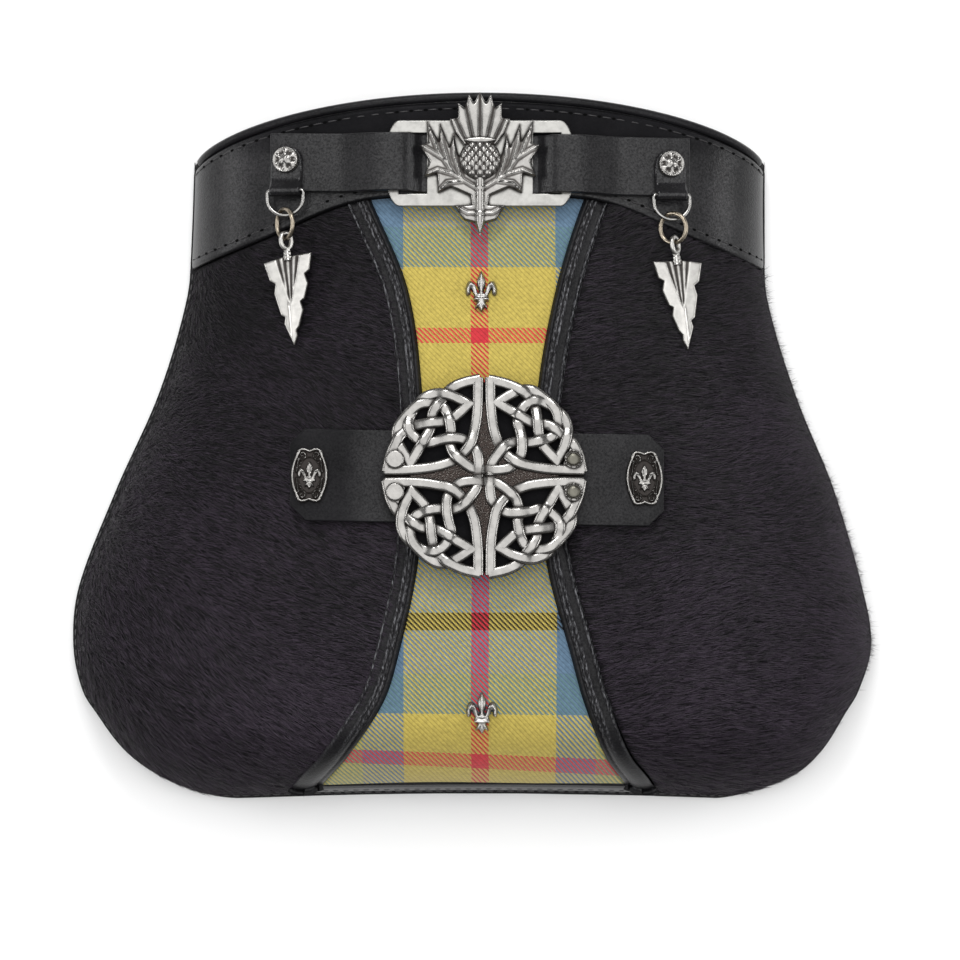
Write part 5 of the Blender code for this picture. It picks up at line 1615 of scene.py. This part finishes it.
def rosette(points, edge):
    """Domed head with a star boss in a ring of six trefoil hollows."""
    radius = STUD_RIVET / 2
    r = np.linalg.norm(points, axis=1) / radius
    turn = np.arctan2(points[:, 1], points[:, 0])
    dome = 2.0 * np.sqrt(np.maximum(0.0, 1 - 0.75 * r * r))
    hollows = soft(r - 0.60, 0.17) * (0.5 + 0.5 * np.cos(6 * turn)) ** 0.7
    leaves = soft(r - 0.66, 0.09) * (0.5 + 0.5 * np.cos(18 * turn)) * 0.35
    boss = soft(r, 0.24 + 0.05 * np.cos(6 * turn))
    rim = smooth_step((r - 0.84) / 0.06) * (0.25 + 0.08 * np.cos(30 * turn))
    height = 0.3 + dome - 0.70 * hollows + leaves * hollows + 0.55 * boss + rim
    return height * MM * crown(edge, 0.3 * MM, 1.0), np.clip(hollows - 1.5 * leaves, 0, 1)


def tab_section(along_start):
    """Side view of a tab as (along, height): under it, round the loop and back over it."""
    points = [(along_start, 0.0), (TAB_LENGTH, 0.0)]
    for angle in np.linspace(-math.pi / 2, math.pi / 2, 15)[1:]:
        points.append((TAB_LENGTH + LOOP_RADIUS * math.cos(angle), LOOP_RADIUS * (1 + math.sin(angle))))
    for share in np.linspace(0, 1, 9)[1:]:
        fall = smooth_step(share)
        rise = 2 * LOOP_RADIUS + (TAB_THICKNESS - 2 * LOOP_RADIUS) * fall
        points.append((TAB_LENGTH - 2.4 * LOOP_RADIUS * share, rise - 0.35 * MM * math.sin(math.pi * share)))
    points.append((along_start + 0.5 * MM, TAB_THICKNESS))
    points.append((along_start, TAB_THICKNESS - 0.5 * MM))
    return points


def tab_shape():
    """Leather tab with a rounded top, folded round the D-ring's bar."""
    half = TAB_WIDTH / 2
    rings = []
    for out in np.sin(np.linspace(-1.5, 1.5, 25)):
        start = half - math.sqrt(max(0.0, half * half - (out * half) ** 2))
        edge_drop = 0.35 * MM * max(0.0, (abs(out) - 0.9) / 0.1)
        ring = []
        for along, high in tab_section(start):
            ring.append((out * half, TAB_LENGTH / 2 - along, max(high - edge_drop, 0.0)))
        rings.append(ring)
    rings = np.array(rings)
    return rings.reshape(-1, 3), ring_faces(*rings.shape[:2])


def d_ring_path():
    """Middle line of a D-ring whose bar is at the origin along X."""
    half = (D_RING_WIDTH - D_RING_WIRE) / 2
    deep = D_RING_DEPTH - D_RING_WIRE
    corner = deep * 0.3
    bend = 1.0 * MM
    points = [(half * share, 0.0) for share in np.linspace(-0.8, 0.8, 9)]
    for angle in np.linspace(0.2, math.pi / 2, 6):
        points.append((half - bend + bend * math.sin(angle), -bend + bend * math.cos(angle)))
    for angle in np.linspace(0, math.pi, 30):
        points.append((half * math.cos(angle), -corner - (deep - corner) * math.sin(angle)))
    for angle in np.linspace(0, 1.37, 6):
        points.append((bend - half - bend * math.cos(angle), -bend + bend * math.sin(angle)))
    return [(x, y, 0.0) for x, y in points]


def wire(path, thickness):
    return sweep(path, (0.0, 0.0, 1.0), circle(thickness / 2, 16), closed=True)


def oval_path(half_wide, half_high):
    return [(x, y, 0.0) for x, y in ellipse(half_wide, half_high, 48)]


def make_drops():
    """Tabs, rivets, D-rings, jump rings and arrowheads, each linked through the next."""
    d_reach = D_RING_DEPTH - D_RING_WIRE
    jump_radius = (JUMP_RING - JUMP_WIRE) / 2
    jump_hole = jump_radius - JUMP_WIRE / 2
    hook = jump_hole - D_RING_WIRE / 2 - LINK_GAP
    bail_drop = jump_hole - LINK_GAP / 2 - BAIL_WIRE / 2 + (BAIL_LENGTH - BAIL_WIRE) / 2
    for label, side, out, below, jump_right, tip_right in DROPS:
        bar_x = side * out * BELT_LENGTH
        bar_y = BELT_HEIGHT - below * BELT_WIDTH
        jump_x = bar_x + jump_right * BLADE_WIDTH
        tip_x = bar_x + tip_right * BLADE_WIDTH
        tab_seat = seat(bar_x, bar_y + TAB_LENGTH / 2, TAB_LIFT)
        cast("tab_" + label, [(*tab_shape(), tab_seat)], TAB, ("ring_tab_" + label,))
        rivet_at = tab_seat @ Matrix.Translation((0, TAB_LENGTH * 0.17, TAB_THICKNESS + GAP))
        head = relief(circle(STUD_RIVET / 2, 60), 0.2 * MM, rosette)
        cast("rosette_" + label, [(*head, rivet_at)], SILVER, ("rivet_" + label,))

        bar = (tab_seat @ Matrix.Translation((0, -TAB_LENGTH / 2, LOOP_RADIUS))).to_translation()
        normal = Vector(front_normal(np.array([bar_x]), np.array([bar_y]), 1.0 * MM)[0])
        jump_y = bar.y - d_reach - hook
        down = (Vector(on_front(np.array([jump_x]), np.array([jump_y]), BAR_LIFT)[0]) - bar).normalized()
        ring = wire(d_ring_path(), D_RING_WIRE)
        cast("d_wire_" + label, [(*ring, aimed(bar, down, normal))], SMOOTH, ("d_ring_" + label,))

        jump = bar + down * (d_reach + hook)
        tip_y = jump_y - bail_drop - SHOULDER_DROP - BLADE_LENGTH
        tip = Vector(on_front(np.array([tip_x]), np.array([tip_y]), BLADE_THICKNESS / 2 + BLADE_REST)[0])
        hang = (tip - jump).normalized()
        ring = wire(oval_path(jump_radius, jump_radius), JUMP_WIRE)
        cast("jump_wire_" + label, [(*ring, aimed(jump, hang, normal, -JUMP_TURN))], WARM,
             ("jump_ring_" + label,))

        bail = jump + hang * bail_drop
        way = (tip - bail).normalized()
        shoulder = (tip - bail).length - BLADE_LENGTH
        loop = wire(oval_path((BAIL_WIDTH - BAIL_WIRE) / 2, (BAIL_LENGTH - BAIL_WIRE) / 2), BAIL_WIRE)
        pieces = [(*loop, aimed(bail, way, normal, math.pi / 2 - JUMP_TURN))]
        pieces += [(*shape, aimed(bail, way, normal)) for shape in arrowhead(side, shoulder)]
        cast("arrowhead_" + label, pieces, BLADE, ("pendant_" + label,))


def arrowhead(side, shoulder):
    """Flat bright blade with a ribbed V-shaped hollow at its top, a middle ridge, and a ribbed neck."""
    half = BLADE_WIDTH / 2
    right = [(x * half, -shoulder - y * BLADE_LENGTH) for x, y in BLADE_RIGHT]
    left = [(-x * half, -shoulder - y * BLADE_LENGTH) for x, y in reversed(BLADE_LEFT)]
    outline = right + left
    if side > 0:
        outline = [(-x, y) for x, y in outline]
    top = BLADE_THICKNESS / 2

    def face(points, edge):
        down = (-shoulder - points[:, 1]) / BLADE_LENGTH
        out = np.abs(points[:, 0]) / half
        flaked = crown(edge, 0.7 * MM, 0.35 * MM) - 0.35 * MM
        wing = 0.58 * np.clip(1 - down / 0.60, 0, 1)
        hollow = smooth_step((wing - out) / 0.10) * smooth_step(down / 0.03)
        fan = np.arctan2(points[:, 0], BLADE_LENGTH * 0.75 + points[:, 1] + shoulder)
        ribs = 0.13 * MM * np.cos(fan * 62)
        keel = soft(points[:, 0], 0.55 * MM) * smooth_step((0.97 - down) / 0.1)
        crease = 0.30 * MM * keel * smooth_step((down - 0.3) / 0.3)
        fall = 0.22 * MM * np.clip(out, 0, 1) * (1 - hollow)
        recess = np.maximum(hollow * (0.75 - 4.5 * ribs / MM), soft(edge, 0.22 * MM) * 0.5)
        return top + flaked - hollow * (0.45 * MM - ribs) + crease - fall, np.clip(recess, 0, 1)

    low = -shoulder - 0.06 * BLADE_LENGTH
    high = -(BAIL_LENGTH - BAIL_WIRE) / 2 - 0.2 * MM
    shares = np.linspace(0, 1, 26)
    neck = np.column_stack([np.zeros(26), np.linspace(high, low, 26), np.zeros(26)])
    swell = 0.80 + 0.35 * shares + 0.07 * np.cos(shares * 6 * math.pi)
    oval = ellipse(1.25 * MM, 0.95 * MM, 24)
    ribbed = [(x * (1 + 0.10 * math.cos(6 * math.atan2(y, x))), y) for x, y in oval]
    return [relief(outline, 0.26 * MM, face, -top), sweep(neck, (0.0, 0.0, 1.0), ribbed, scale=swell)]


def area_light(label, spot, size, power):
    """Soft rectangular lamp that faces the pouch."""
    lamp = bpy.data.lights.new(label, "AREA")
    lamp.shape = "RECTANGLE"
    lamp.size, lamp.size_y = size
    lamp.energy = power
    light = in_scene(label, lamp)
    light.location = spot
    light.rotation_mode = "QUATERNION"
    light.rotation_quaternion = (Vector((0, 0, 0)) - Vector(spot)).to_track_quat("-Z", "Y")


def make_scene():
    """Camera over the pouch, pale floor and soft light."""
    camera = bpy.data.cameras.new("camera")
    camera.lens = CAMERA_LENS
    camera.sensor_width = 36
    camera.clip_start = 0.1
    camera.clip_end = 20
    eye = in_scene("camera", camera)
    eye.location = (0.0, 0.0, CAMERA_HEIGHT)
    bpy.context.scene.camera = eye
    bpy.context.scene.view_settings.view_transform = "Standard"

    mesh = mesh_of("floor", [(-4, -4, 0), (4, -4, 0), (4, 4, 0), (-4, 4, 0)], [(0, 1, 2, 3)])
    floor = in_scene("floor", mesh)
    floor.location.z = -0.2 * MM
    n = Nodes("floor_pale")
    n.set(Base_Color=n.ramp(n.noise(3.0), (0.3, 0.88), (0.7, 0.91)), Roughness=0.9)
    mesh.materials.append(n.material)

    world = bpy.data.worlds.new("studio")
    world.use_nodes = True
    sky = world.node_tree.nodes["Background"].inputs
    sky["Color"].default_value = (1.0, 1.0, 1.0, 1.0)
    sky["Strength"].default_value = WORLD_STRENGTH
    bpy.context.scene.world = world
    for row in LIGHTS:
        area_light(*row)


make_scene()
make_back_and_welt()
for name, side in BOTH:
    make_fur(name, side)
make_tartan()
make_borders()
make_foot_band()
make_yoke()
make_rim()
make_belt()
make_band()
make_slide_plate()
make_emblem()
make_clasp()
make_cartouches()
make_fleurs()
make_drops()
